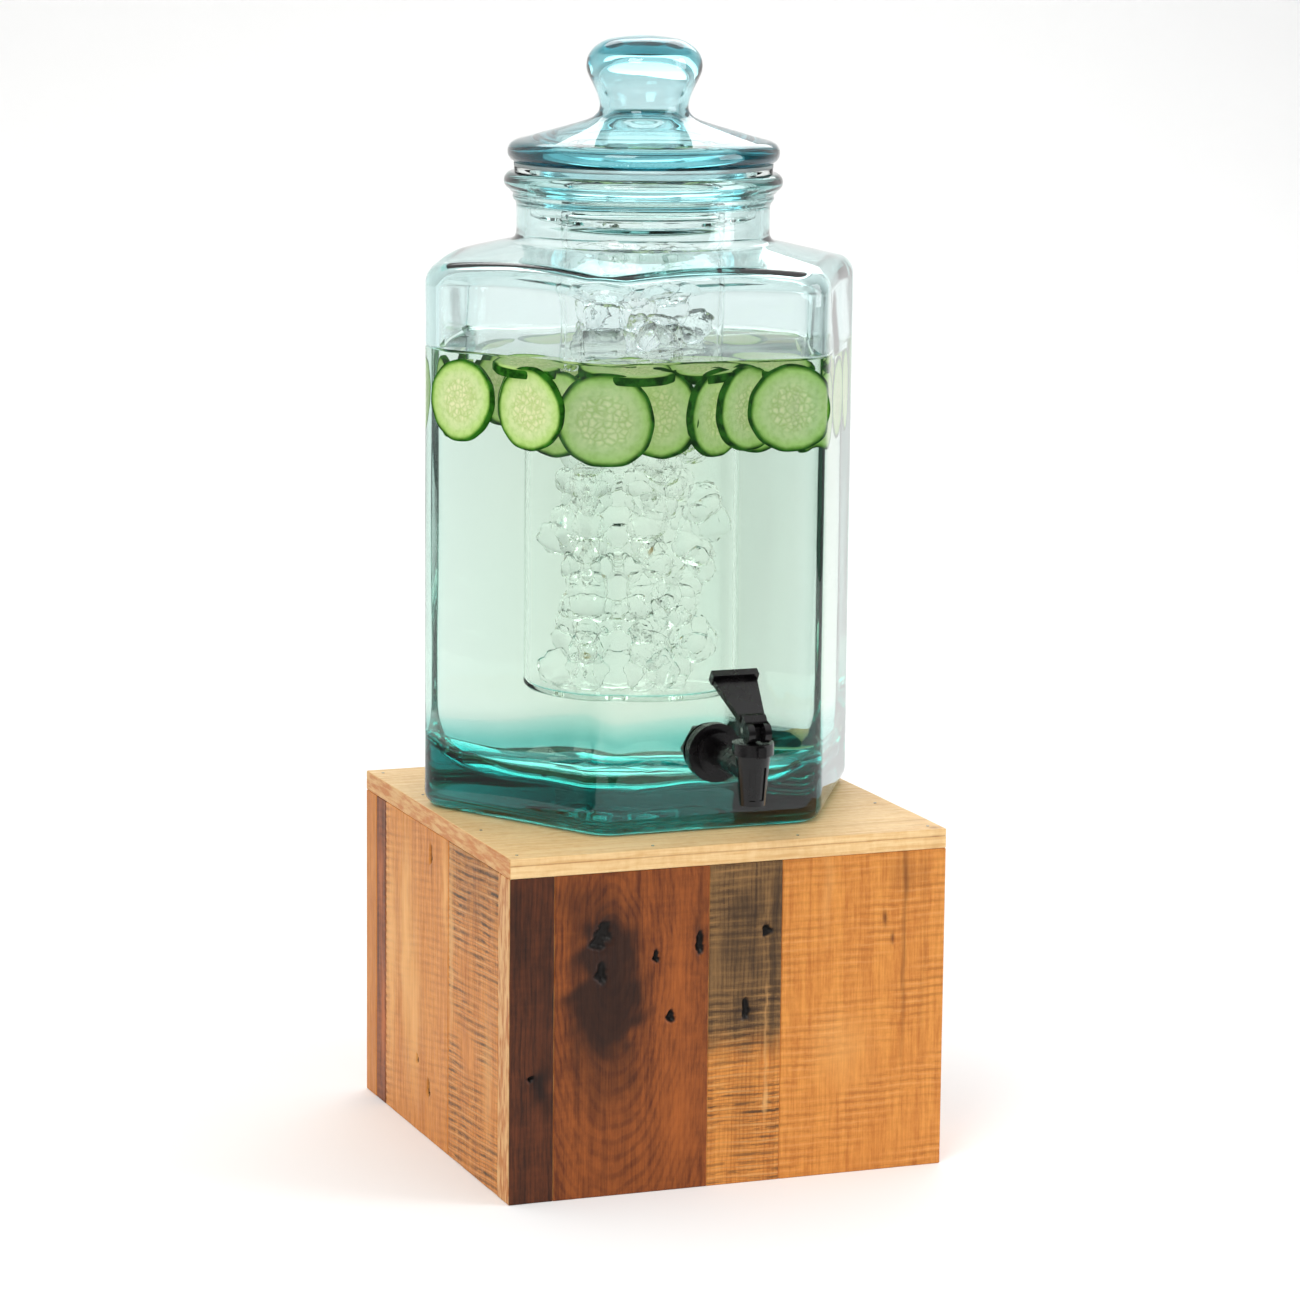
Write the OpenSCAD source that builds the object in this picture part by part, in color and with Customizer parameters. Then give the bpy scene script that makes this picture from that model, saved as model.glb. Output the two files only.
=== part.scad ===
// Countertop water dispenser: a hexagonal glass jar with lid, hanging ice tube and lever tap,
// standing on a box of reclaimed boards. Millimetres, +Z up, the tap points towards -Y.
// The origin is the centre of the stand's underside.

/* [Stand] */
// Width of the stand, left to right
stand_w = 250; // [230:1:320]
// Depth of the stand, front to back
stand_d = 250; // [230:1:320]
// Height of the stand, top panel included
stand_h = 187.5; // [120:0.5:260]
// Thickness of the top panel
top_t = 11; // [8:0.5:22]
// Thickness of the bottom panel, let in between the walls
bottom_t = 9; // [6:0.5:18]
// Thickness of the wall boards
board_t = 19; // [14:0.5:24]
// Width of the first front board, from the left
front_1_w = 25; // [15:0.5:60]
// Width of the second front board
front_2_w = 87.5; // [40:0.5:110]
// Width of the third front board
front_3_w = 42; // [20:0.5:50]
// Width of the first left board, from the front
left_1_w = 83; // [40:0.5:100]
// Width of the second left board
left_2_w = 112; // [40:0.5:120]
// Width of the first right board, from the front
right_1_w = 64; // [40:0.5:90]
// Width of the second right board
right_2_w = 90; // [40:0.5:100]
// Width of the first back board, from the left
back_1_w = 72; // [40:0.5:90]
// Width of the second back board
back_2_w = 46; // [20:0.5:60]
// Width of the third back board
back_3_w = 88; // [40:0.5:100]
// Side of the glue blocks and cleats
block_w = 20; // [12:0.5:30]
// Diameter of a pin nail
nail_d = 1.6; // [1.2:0.1:2.5]
// Length of a pin nail
nail_l = 32; // [20:1:40]
// Distance of the end nails from the stand's corner
nail_end = 7; // [5:0.5:20]

/* [Jar] */
// Distance across the jar's flat faces
jar_af = 220.4; // [180:0.2:270]
// Radius of the jar's vertical corners
jar_corner_r = 17.5; // [10:0.5:30]
// Radius of the same corners inside the jar
jar_corner_in_r = 6; // [3:0.5:24]
// Height of the jar from its base to its lip
jar_h = 346.5; // [280:0.5:420]
// Thickness of the jar's wall
jar_wall = 5; // [3.5:0.1:6.5]
// Thickness of the jar's base
jar_base_t = 14; // [8:0.5:20]
// Distance of the jar's axis behind the middle of the stand
jar_back = 17; // [0:0.5:30]
// Height of the neck's foot below the lip
shoulder_down = 34.5; // [30:0.5:45]
// Height of the sloping shoulder
shoulder_rise = 14; // [8:0.5:25]
// Radius of the edge between wall and shoulder
shoulder_r = 13; // [6:0.5:18]
// Radius round the foot of the jar
foot_r = 9; // [4:0.5:14]
// Radius round the floor inside the jar
floor_r = 2; // [1:0.5:12]
// Outer diameter of the neck
neck_d = 139; // [110:0.5:150]
// Diameter of the mouth inside the neck
mouth_d = 128; // [104:0.5:130]
// Thickness of the rolled bead under the lip
bead_t = 10; // [6:0.5:14]
// How far the bead stands out from the neck
bead_out = 7; // [3:0.5:8]

/* [Ice tube] */
// Outer diameter of the ice tube
tube_d = 90; // [60:0.5:108]
// Wall of the ice tube
tube_wall = 3; // [2:0.1:4]
// Free height between the ice tube and the floor of the jar
tube_clear = 48.5; // [20:0.5:120]
// Diameter of the flange that hangs on the lip
tube_flange_d = 142; // [130:0.5:150]
// Thickness of the flange
tube_flange_t = 3; // [2:0.1:4]
// Gap between the collar and the mouth, on each side
collar_gap = 2; // [0.5:0.1:3]
// Depth of the collar that centres the tube in the mouth
collar_h = 26; // [18:0.5:30]

/* [Lid] */
// Outer diameter of the lid
lid_d = 149.3; // [144:0.1:160]
// Thickness of the lid's rim
lid_rim_t = 12; // [8:0.5:14]
// Height of the dome above the lid's underside, up to the knob's neck
lid_dome_h = 27; // [20:0.5:34]
// Height of the lid with its knob
lid_h = 69; // [60:0.5:80]
// Diameter of the knob
knob_d = 63.5; // [50:0.5:70]
// Diameter of the knob's neck
knob_neck_d = 48.4; // [40:0.5:49]
// Wall of the lid
lid_wall = 5.5; // [4:0.1:7]
// Thickness of the gasket under the lid
gasket_t = 2; // [1:0.1:3]
// Gap between the gasket and the lid's skirt, on each side
gasket_gap = 0.3; // [0.1:0.1:1]
// Length of the lid's skirt inside the collar
skirt_l = 11; // [6:0.5:16]
// Thickness of the lid's skirt
skirt_t = 4; // [3:0.1:6]
// Gap between the skirt and the collar, on each side
skirt_gap = 2; // [0.5:0.1:3]

/* [Tap] */
// Height of the tap's shank above the jar's base
tap_up = 44.5; // [36:0.5:80]
// Distance from the jar's face to the spout's axis
tap_reach = 59; // [48:0.5:75]
// Diameter of the shank
shank_d = 15.8; // [14:0.1:19]
// Diameter of the waterway through the shank
shank_bore_d = 8.4; // [6:0.1:9]
// Clearance of the shank in the glass, on each side
shank_gap = 0.4; // [0.2:0.1:1]
// Diameter of the wall flange
flange_d = 32; // [28:0.5:38]
// Thickness of the wall flange
flange_t = 6; // [4:0.5:8]
// Diameter of the step in front of the flange
boss_d = 24; // [21:0.5:27]
// Thickness of the step in front of the flange
boss_t = 5; // [3:0.5:7]
// Diameter of the neck between step and barrel
tap_neck_d = 13.5; // [12:0.5:15]
// Thickness of each rubber washer
washer_t = 2; // [1:0.1:3]
// Thickness of the lock nut
nut_t = 8; // [5:0.5:11]
// Width of the lock nut across its flats
nut_af = 24; // [22:0.5:30]
// How far the shank passes the nut
shank_past = 3; // [1:0.5:6]
// Diameter of the barrel at its top
barrel_d = 18.6; // [17.6:0.1:21]
// Diameter of the spout at its tip
spout_d = 13.4; // [12.4:0.1:16]
// Depth of the spout's tip below the shank's axis
spout_drop = 18; // [15:0.5:30]
// Bore of the barrel round the seat cup
chamber_d = 13; // [12:0.1:14]
// Bore of the spout
spout_bore_d = 8.8; // [7:0.1:9]
// Depth of the valve seat below the shank's axis
seat_drop = 6; // [5:0.5:10]
// Height of the bonnet's foot above the shank's axis
bonnet_up = 9; // [8:0.5:14]
// Diameter of the bonnet
bonnet_d = 22; // [20:0.5:26]
// Height of the bonnet
bonnet_h = 6.5; // [5:0.5:10]
// Thickness of the bonnet's top
bonnet_top_t = 2.5; // [2:0.1:3.5]
// Diameter of the stem
stem_d = 4; // [3:0.1:4.6]
// Running clearance of stem and pin, on each side
run_gap = 0.06; // [0.02:0.01:0.1]
// Height of the lever's pin above the bonnet
pivot_up = 6.5; // [5.5:0.1:9]
// Diameter of the lever's pin
pin_d = 3; // [2:0.1:3.4]
// Width of the lever's fork
fork_w = 13; // [11:0.5:16]
// Thickness of the stem's eye, inside the fork
eye_w = 5; // [4:0.1:6]
// Gap between the eye and the fork, on each side
fork_gap = 0.3; // [0.2:0.05:0.6]
// How far the lever's heel stands in front of the pin
heel_out = 5; // [4:0.1:6]
// Gap between the heel and the bonnet at rest
heel_gap = 0.3; // [0.2:0.05:0.5]
// Length of the lever's paddle
paddle_l = 34; // [25:0.5:45]
// Width of the paddle at its top
paddle_w = 26; // [16:0.5:34]
// Thickness of the paddle
paddle_t = 3.6; // [2.5:0.1:5]
// How far the paddle leans back from upright at rest, in degrees
paddle_lean = 57; // [30:1:65]

/* [Hidden] */
$fn = 96;
past = 1;                                    // how far a cutter runs past the face that it cuts

// stand
wall_h = stand_h - top_t;
wall_in_x = stand_w / 2 - board_t;
wall_in_y = stand_d / 2 - board_t;
front_widths = [front_1_w, front_2_w, front_3_w, stand_w - front_1_w - front_2_w - front_3_w];
back_widths = [back_1_w, back_2_w, back_3_w, stand_w - back_1_w - back_2_w - back_3_w];
left_widths = [left_1_w, left_2_w, 2 * wall_in_y - left_1_w - left_2_w];
right_widths = [right_1_w, right_2_w, 2 * wall_in_y - right_1_w - right_2_w];

// jar: heights above its base
jar_corner_reach = (jar_af / 2 - jar_corner_r) / cos(30) + jar_corner_r;
jar_in_reach = (jar_af / 2 - jar_wall - jar_corner_in_r) / cos(30) + jar_corner_in_r;
neck_z = jar_h - shoulder_down;
bead_z = jar_h - bead_t / 2 + 0.5;
bead_r = neck_d / 2 + bead_out;

// ice tube and lid: heights above the table
lip_z = stand_h + jar_h;
flange_top_z = lip_z + tube_flange_t;
tube_bottom_z = stand_h + jar_base_t + tube_clear;
lid_z = flange_top_z + gasket_t;
collar_r = mouth_d / 2 - collar_gap;
tube_r = tube_d / 2;
skirt_r = collar_r - tube_wall - skirt_gap;

// tap: distances out from the jar's face, heights above the shank's axis
shank_in = jar_wall + washer_t + nut_t + shank_past;
bonnet_top = bonnet_up + bonnet_h;
bonnet_under = bonnet_top - bonnet_top_t;
cap_thread_d = (barrel_d + chamber_d) / 2 + 0.6;
pivot_z = bonnet_top + pivot_up;
heel_drop = 0.9;
heel_r = pivot_up - heel_gap - heel_drop;
cup_top = -seat_drop + 5;
cup_gap = 0.7;
nose_l = 1.5;
eye_r = 3.5;
spring_wire_d = 0.9;
spring_coil_r = (stem_d / 2 + chamber_d / 2) / 2;
spring_turns = 5;

// Points of an arc round [cx, cy], from angle a to angle b in degrees
function arc(cx, cy, r, a, b, n = 8) =
    [for (i = [0:n]) let (t = a + (b - a) * i / n) [cx + r * cos(t), cy + r * sin(t)]];

// Sum of the first i entries of a list
function run_to(list, i) = i == 0 ? 0 : list[i - 1] + run_to(list, i - 1);

// ---- stand ----

module nail_places() {
    for (sx = [-1, 1], sy = [-1, 1]) {
        translate([sx * (stand_w / 2 - nail_end), sy * (stand_d / 2 - board_t / 2), 0]) children();
        translate([sx * stand_w / 6, sy * (stand_d / 2 - board_t / 2), 0]) children();
        translate([sx * (stand_w / 2 - board_t / 2), sy * stand_d / 5, 0]) children();
    }
}

module nail_solids() {
    nail_places() translate([0, 0, stand_h - nail_l]) cylinder(d = nail_d, h = nail_l, $fn = 16);
}

// A wall board from its low corner, with the holes of the nails that run into it
module board(low, size) {
    difference() {
        translate(low) cube(size);
        nail_solids();
    }
}

module front_plank(i) {
    board([-stand_w / 2 + run_to(front_widths, i), -stand_d / 2, 0], [front_widths[i], board_t, wall_h]);
}

module back_plank(i) {
    board([-stand_w / 2 + run_to(back_widths, i), wall_in_y, 0], [back_widths[i], board_t, wall_h]);
}

module left_plank(i) {
    board([-stand_w / 2, -wall_in_y + run_to(left_widths, i), 0], [board_t, left_widths[i], wall_h]);
}

module right_plank(i) {
    board([wall_in_x, -wall_in_y + run_to(right_widths, i), 0], [board_t, right_widths[i], wall_h]);
}

module stand_top() {
    color("burlywood") difference() {
        translate([-stand_w / 2, -stand_d / 2, wall_h]) cube([stand_w, stand_d, top_t]);
        nail_solids();
    }
}

module stand_bottom() {
    color("tan") translate([-wall_in_x, -wall_in_y, 0]) cube([2 * wall_in_x, 2 * wall_in_y, bottom_t]);
}

module corner_blocks() {
    color("tan") for (sx = [-1, 1], sy = [-1, 1])
        translate([
            sx > 0 ? wall_in_x - block_w : -wall_in_x,
            sy > 0 ? wall_in_y - block_w : -wall_in_y,
            bottom_t
        ]) cube([block_w, block_w, wall_h - bottom_t]);
}

module top_cleats() {
    cleat_x = 2 * (wall_in_x - block_w);
    cleat_y = 2 * (wall_in_y - block_w);
    color("tan") {
        for (y = [-wall_in_y, wall_in_y - block_w])
            translate([-cleat_x / 2, y, wall_h - block_w]) cube([cleat_x, block_w, block_w]);
        for (x = [-wall_in_x, wall_in_x - block_w])
            translate([x, -cleat_y / 2, wall_h - block_w]) cube([block_w, cleat_y, block_w]);
    }
}

module pin_nails() { color("dimgray") nail_solids(); }

// ---- jar ----

module at_jar() { translate([0, jar_back, stand_h]) children(); }

// Six-sided prism with round corners: flats face +Y and -Y
module round_hex(af, r, h) {
    reach = (af / 2 - r) / cos(30);
    for (a = [0:60:120]) rotate(a) translate([-reach / 2, -af / 2, 0]) cube([reach, af, h]);
    cylinder(r = reach, h = h, $fn = 6);
    for (a = [0:60:300]) rotate(a) translate([reach, 0, 0]) cylinder(r = r, h = h);
}

// Outline of the turned form that trims the prism: foot, wall, shoulder and neck.
// grow moves it inwards for the hollow, floor_z is where it starts and top_z where it ends.
function turned(grow, reach, neck_r, floor_z, foot, top_z) = concat(
    [[0, floor_z]],
    arc(reach - foot, floor_z + foot, foot, -90, 0),
    arc(reach - shoulder_r, neck_z - shoulder_rise - shoulder_r + grow, shoulder_r, 0, 72),
    [[neck_r + 4, neck_z - 2 + grow], [neck_r, neck_z + 2 + grow], [neck_r, top_z], [0, top_z]]
);

module jar() {
    color("lightseagreen", 0.5) at_jar() difference() {
        union() {
            intersection() {
                round_hex(jar_af, jar_corner_r, jar_h - past);
                rotate_extrude() polygon(turned(0, jar_corner_reach, neck_d / 2, 0, foot_r, jar_h - past));
            }
            translate([0, 0, neck_z]) cylinder(d = neck_d, h = jar_h - neck_z);
            translate([0, 0, bead_z - bead_t / 2 - 4]) cylinder(d = neck_d + 4.5, h = 6);
            rotate_extrude() translate([bead_r - bead_t / 2, bead_z]) circle(d = bead_t, $fn = 32);
            translate([0, 0, bead_z - bead_t / 2 + 0.5])
                cylinder(r = bead_r - bead_t / 2, h = jar_h - bead_z + bead_t / 2 - 0.5);
        }
        intersection() {
            round_hex(jar_af - 2 * jar_wall, jar_corner_in_r, jar_h);
            rotate_extrude() polygon(turned(-jar_wall, jar_in_reach, mouth_d / 2, jar_base_t, floor_r, jar_h));
        }
        translate([0, 0, neck_z - jar_wall]) cylinder(d = mouth_d, h = jar_h);
        translate([0, -jar_af / 2 - past, tap_up]) rotate([-90, 0, 0])
            cylinder(d = shank_d + 2 * shank_gap, h = jar_wall + 2 * past);
        translate([0, 0, jar_h]) cylinder(r = bead_r + past, h = bead_t);
    }
}

// ---- ice tube ----

module ice_tube() {
    step_z = lip_z - collar_h;
    color("azure", 0.5) translate([0, jar_back, 0]) rotate_extrude() polygon(concat(
        [[0, tube_bottom_z]],
        arc(tube_r - 5, tube_bottom_z + 5, 5, -90, 0),
        [[tube_r, step_z - 2], [collar_r, step_z + 2], [collar_r, lip_z], [tube_flange_d / 2, lip_z],
         [tube_flange_d / 2, flange_top_z], [collar_r - tube_wall, flange_top_z],
         [collar_r - tube_wall, step_z + 2 + tube_wall], [tube_r - tube_wall, step_z - 2 + tube_wall]],
        arc(tube_r - tube_wall - 3, tube_bottom_z + tube_wall + 3, 3, 0, -90),
        [[0, tube_bottom_z + tube_wall]]
    ));
}

// ---- lid ----

module lid() {
    rim_r = lid_rim_t / 2;
    neck_r = knob_neck_d / 2;
    knob_r = knob_d / 2;
    knob_z = lid_h - 17;                     // where the knob is widest
    in_knob_r = knob_r - lid_wall - 1;
    in_neck_r = neck_r - lid_wall;
    top_round = 12;
    color("paleturquoise", 0.5) translate([0, jar_back, lid_z]) rotate_extrude() polygon(concat(
        [[skirt_r, 0]],
        [[lid_d / 2 - rim_r, 0]],
        arc(lid_d / 2 - rim_r, rim_r, rim_r, -90, 75),
        [[neck_r + 22, lid_dome_h - 7], [neck_r + 7, lid_dome_h - 3], [neck_r + 1, lid_dome_h],
         [neck_r + 0.5, lid_dome_h + 5], [neck_r + 4, lid_dome_h + 14]],
        arc(knob_r - top_round, knob_z, top_round, 0, 60),
        [[knob_r * 0.45, lid_h - 0.8], [0, lid_h], [0, lid_h - 9]],
        [[in_knob_r * 0.6, lid_h - 10]],
        arc(in_knob_r - 7, knob_z, 7, 60, 0),
        [[in_neck_r + 4, lid_dome_h + 14], [in_neck_r, lid_dome_h + 4], [in_neck_r, lid_dome_h - 3]],
        [[in_neck_r + 4, lid_dome_h - 3 - lid_wall], [neck_r + 18, lid_dome_h - 8 - lid_wall],
         [skirt_r - skirt_t, 5], [skirt_r - skirt_t, -skirt_l], [skirt_r, -skirt_l]]
    ));
}

module lid_gasket() {
    color("whitesmoke") translate([0, jar_back, flange_top_z]) difference() {
        cylinder(d = tube_flange_d, h = gasket_t);
        translate([0, 0, -past]) cylinder(r = skirt_r + gasket_gap, h = gasket_t + 2 * past);
    }
}

// ---- tap ----

// Origin on the jar's front face at the shank's axis, -Y outwards
module at_tap() { translate([0, jar_back - jar_af / 2, stand_h + tap_up]) children(); }

// Origin on the barrel's axis
module at_barrel() { at_tap() translate([0, -tap_reach, 0]) children(); }

// Round bar along Y from y0 to y1
module bar_y(d, y0, y1) { translate([0, y0, 0]) rotate([-90, 0, 0]) cylinder(d = d, h = y1 - y0); }

module tap_body() {
    flute_w = 3.2;
    flute_deep = 0.9;
    barrel_h = spout_drop + bonnet_up;
    taper = atan((barrel_d - spout_d) / 2 / barrel_h);
    color("black") difference() {
        union() {
            at_tap() {
                bar_y(shank_d, -washer_t - flange_t, shank_in);
                bar_y(flange_d, -washer_t - flange_t, -washer_t);
                bar_y(boss_d, -washer_t - flange_t - boss_t, -washer_t);
                bar_y(tap_neck_d, -tap_reach, -washer_t);
            }
            at_barrel() {
                translate([0, 0, -spout_drop]) cylinder(d1 = spout_d, d2 = barrel_d, h = barrel_h);
                translate([0, 0, bonnet_up - past])
                    cylinder(d = cap_thread_d, h = bonnet_under - bonnet_up + past);
            }
        }
        at_tap() bar_y(shank_bore_d, -tap_reach, shank_in + past);
        at_barrel() {
            translate([0, 0, -seat_drop]) cylinder(d = chamber_d, h = bonnet_top + seat_drop);
            translate([0, 0, -spout_drop - past])
                cylinder(d = spout_bore_d, h = spout_drop - seat_drop + 2 * past);
            for (a = [-112.5:45:67.5]) rotate(a) translate([spout_d / 2 - flute_deep, 0, -spout_drop])
                rotate([0, taper, 0]) translate([0, -flute_w / 2, 3]) cube([5, flute_w, barrel_h - 9]);
        }
    }
}

module tap_bonnet() {
    lug_w = 4.5;
    lug_out = 2.2;
    color("black") at_barrel() difference() {
        union() {
            translate([0, 0, bonnet_up]) cylinder(d = bonnet_d, h = bonnet_h);
            translate([-lug_w / 2, -bonnet_d / 2 - lug_out, bonnet_up])
                cube([lug_w, bonnet_d / 2, bonnet_h - 1]);
        }
        translate([0, 0, bonnet_up - past]) cylinder(d = cap_thread_d, h = bonnet_under - bonnet_up + past);
        translate([0, 0, bonnet_up]) cylinder(d = stem_d + 2 * run_gap, h = bonnet_h + past);
    }
}

module tap_stem() {
    color("dimgray") at_barrel() difference() {
        union() {
            translate([0, 0, -seat_drop + past]) cylinder(d = stem_d, h = pivot_z + seat_drop - past);
            translate([-eye_w / 2, 0, pivot_z]) rotate([0, 90, 0]) cylinder(r = eye_r, h = eye_w);
            translate([-eye_w / 2, -eye_r, bonnet_top + 0.8])
                cube([eye_w, 2 * eye_r, pivot_z - bonnet_top - 0.8]);
        }
        translate([-eye_w, 0, pivot_z]) rotate([0, 90, 0]) cylinder(d = pin_d + 2 * run_gap, h = 2 * eye_w);
    }
}

module tap_seat() {
    color("gray") at_barrel() difference() {
        union() {
            translate([0, 0, -seat_drop]) cylinder(d = chamber_d - 2 * cup_gap, h = cup_top + seat_drop);
            translate([0, 0, -seat_drop - nose_l])
                cylinder(d1 = spout_bore_d - 3, d2 = spout_bore_d - 0.6, h = nose_l);
        }
        translate([0, 0, -seat_drop + past]) cylinder(d = stem_d, h = cup_top + seat_drop);
    }
}

// Coil spring swept as one closed tube from the cup to the bonnet
module tap_spring() {
    sides = 6;
    rings = spring_turns * 16;
    low = cup_top + spring_wire_d / 2 + 0.05;
    rise = bonnet_under - spring_wire_d / 2 - 0.05 - low;
    points = [for (i = [0:rings], k = [0:sides - 1])
        let (t = 360 * spring_turns * i / rings, s = 360 * k / sides,
             r = spring_coil_r + spring_wire_d / 2 * cos(s))
        [r * cos(t), r * sin(t), low + rise * i / rings + spring_wire_d / 2 * sin(s)]];
    skin = [for (i = [0:rings - 1], k = [0:sides - 1])
        let (n = (k + 1) % sides, a = i * sides, b = a + sides) [a + k, b + k, b + n, a + n]];
    ends = [[for (k = [0:sides - 1]) k], [for (k = [sides - 1:-1:0]) rings * sides + k]];
    color("silver") at_barrel() polyhedron(points, concat(skin, ends));
}

module tap_handle() {
    back = 9;                                // fork behind the pin
    rise = 8;                                // fork above the pin
    belly = 4;                               // fork below the pin, behind the heel
    root_w = 14;
    lip_h = 4.5;
    lip_t = 6.5;
    color("black") at_barrel() translate([0, 0, pivot_z]) difference() {
        union() {
            // rotate maps the drawn plane to Y and Z, and the extrusion to X
            translate([-fork_w / 2, 0, 0]) rotate([90, 0, 90]) linear_extrude(fork_w) {
                translate([-heel_out, -heel_drop]) circle(r = heel_r);
                translate([-heel_out, -belly]) square([heel_out + back, belly + rise - 3]);
                polygon([[-heel_out, rise - 5], [back, rise - 5], [back, rise], [-1, rise]]);
            }
            translate([0, 2, rise - 3]) rotate([-paddle_lean, 0, 0]) {
                translate([0, paddle_t / 2, 0]) rotate([90, 0, 0]) linear_extrude(paddle_t) polygon([
                    [-root_w / 2, 0], [root_w / 2, 0],
                    [paddle_w / 2, paddle_l], [-paddle_w / 2, paddle_l]
                ]);
                translate([-paddle_w / 2, -lip_t + paddle_t / 2, paddle_l - lip_h])
                    cube([paddle_w, lip_t, lip_h]);
            }
        }
        translate([-eye_w / 2 - fork_gap, -heel_out - heel_r - past, -heel_r - pivot_up])
            cube([eye_w + 2 * fork_gap, heel_out + heel_r + back + 2 * past, heel_r + pivot_up + eye_r + 0.8]);
        translate([-fork_w, 0, 0]) rotate([0, 90, 0]) cylinder(d = pin_d, h = 2 * fork_w);
    }
}

module tap_pin() {
    color("gray") at_barrel() translate([-fork_w / 2, 0, pivot_z]) rotate([0, 90, 0])
        cylinder(d = pin_d, h = fork_w);
}

// Rubber ring round the shank, its outer face at y
module washer(y) {
    color("darkgray") at_tap() difference() {
        bar_y(flange_d - 3, y, y + washer_t);
        bar_y(shank_d, y - past, y + washer_t + past);
    }
}

module tap_washer_outer() { washer(-washer_t); }

module tap_washer_inner() { washer(jar_wall); }

module tap_nut() {
    color("black") at_tap() difference() {
        translate([0, jar_wall + washer_t, 0]) rotate([-90, 0, 0])
            cylinder(d = nut_af / cos(30), h = nut_t, $fn = 6);
        bar_y(shank_d, jar_wall + washer_t - past, jar_wall + washer_t + nut_t + past);
    }
}

stand_top();
stand_bottom();
color("saddlebrown") front_plank(0);  // front_plank_1
color("sienna") front_plank(1);  // front_plank_2
color("rosybrown") front_plank(2);  // front_plank_3
color("peru") front_plank(3);  // front_plank_4
color("rosybrown") left_plank(0);  // left_plank_1
color("peru") left_plank(1);  // left_plank_2
color("sienna") left_plank(2);  // left_plank_3
color("peru") right_plank(0);  // right_plank_1
color("saddlebrown") right_plank(1);  // right_plank_2
color("rosybrown") right_plank(2);  // right_plank_3
color("peru") back_plank(0);  // back_plank_1
color("saddlebrown") back_plank(1);  // back_plank_2
color("burlywood") back_plank(2);  // back_plank_3
color("sienna") back_plank(3);  // back_plank_4
corner_blocks();
top_cleats();
pin_nails();
jar();
ice_tube();
lid();
lid_gasket();
tap_body();
tap_bonnet();
tap_stem();
tap_seat();
tap_spring();
tap_handle();
tap_pin();
tap_washer_outer();
tap_washer_inner();
tap_nut();
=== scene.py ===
# Countertop water dispenser: glass jar, lid, ice tube, lever tap and board stand, dressed over the CAD frame.
import math
import bpy
import numpy as np
from mathutils import Matrix, Vector


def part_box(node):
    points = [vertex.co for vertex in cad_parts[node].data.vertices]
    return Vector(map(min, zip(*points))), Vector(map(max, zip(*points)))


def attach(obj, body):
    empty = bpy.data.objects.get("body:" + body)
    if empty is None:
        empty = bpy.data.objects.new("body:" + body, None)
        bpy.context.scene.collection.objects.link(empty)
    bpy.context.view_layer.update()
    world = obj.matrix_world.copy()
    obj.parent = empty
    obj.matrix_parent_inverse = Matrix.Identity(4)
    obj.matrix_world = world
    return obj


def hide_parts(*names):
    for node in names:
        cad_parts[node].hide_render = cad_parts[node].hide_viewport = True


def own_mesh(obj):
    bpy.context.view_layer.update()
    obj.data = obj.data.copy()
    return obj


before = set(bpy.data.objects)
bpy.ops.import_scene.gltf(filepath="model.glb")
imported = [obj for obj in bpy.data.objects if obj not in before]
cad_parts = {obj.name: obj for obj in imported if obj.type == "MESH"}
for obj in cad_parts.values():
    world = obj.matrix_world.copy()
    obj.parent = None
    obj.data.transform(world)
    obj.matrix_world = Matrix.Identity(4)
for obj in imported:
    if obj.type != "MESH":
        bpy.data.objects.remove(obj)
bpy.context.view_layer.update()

mm = 0.001


def nodeBox(name):  # low and high corner of a CAD node, as arrays
    low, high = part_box(name)
    return np.array(low), np.array(high)


studio = {  # lengths in metres
    "aim": (0.0, 0.0, 0.27125),  # point the camera looks at
    "distance": 2.5695,
    "yaw": 20.98,  # degrees round to the left of the tap side
    "pitch": 9.82,
    "roll": 0.56,
    "lens": 128.63,  # on a 36 mm sensor
    "paper": (0.90, 0.90, 0.895),
    "skyTop": 1.15,  # brightness overhead
    "skyBack": 1.05,  # behind the stand
    "skyFront": 0.16,  # on the tap's side
    "sweepFront": -1.15,
    "sweepBack": 1.7,
    "sweepSides": (-0.95, 2.1),
    "sweepRise": 2.6,
    "sweepRound": 0.7,  # radius between floor and wall
    "lights": {  # place, point aimed at, size, watts, colour
        "key": ((-1.6, -1.8, 2.0), (0, 0, 0.3), (1.2, 1.2), 34, (1.0, 0.985, 0.96)),
        "fill": ((1.9, -1.2, 1.0), (0, 0, 0.3), (1.0, 1.6), 25, (0.96, 0.98, 1.0)),
        "back": ((0.6, 1.5, 1.5), (0, 0, 0.35), (1.6, 1.0), 13, (1, 1, 1)),
    },
}


def buildCamera():
    # view axes from yaw and pitch, then turned by roll about the line of sight
    yaw, pitch, roll = (math.radians(studio[k]) for k in ("yaw", "pitch", "roll"))
    ahead = Vector((math.sin(yaw) * math.cos(pitch), math.cos(yaw) * math.cos(pitch), -math.sin(pitch)))
    side = Vector((math.cos(yaw), -math.sin(yaw), 0))
    up = side.cross(ahead)
    sideTurned = math.cos(roll) * side + math.sin(roll) * up
    upTurned = -math.sin(roll) * side + math.cos(roll) * up
    data = bpy.data.cameras.new("camera")
    data.lens = studio["lens"]
    data.sensor_width = 36
    data.clip_end = 20
    cam = bpy.data.objects.new("camera", data)
    bpy.context.collection.objects.link(cam)
    turn = Matrix((sideTurned, upTurned, -ahead)).transposed().to_4x4()
    cam.matrix_world = Matrix.Translation(Vector(studio["aim"]) - ahead * studio["distance"]) @ turn
    bpy.context.scene.camera = cam


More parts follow.
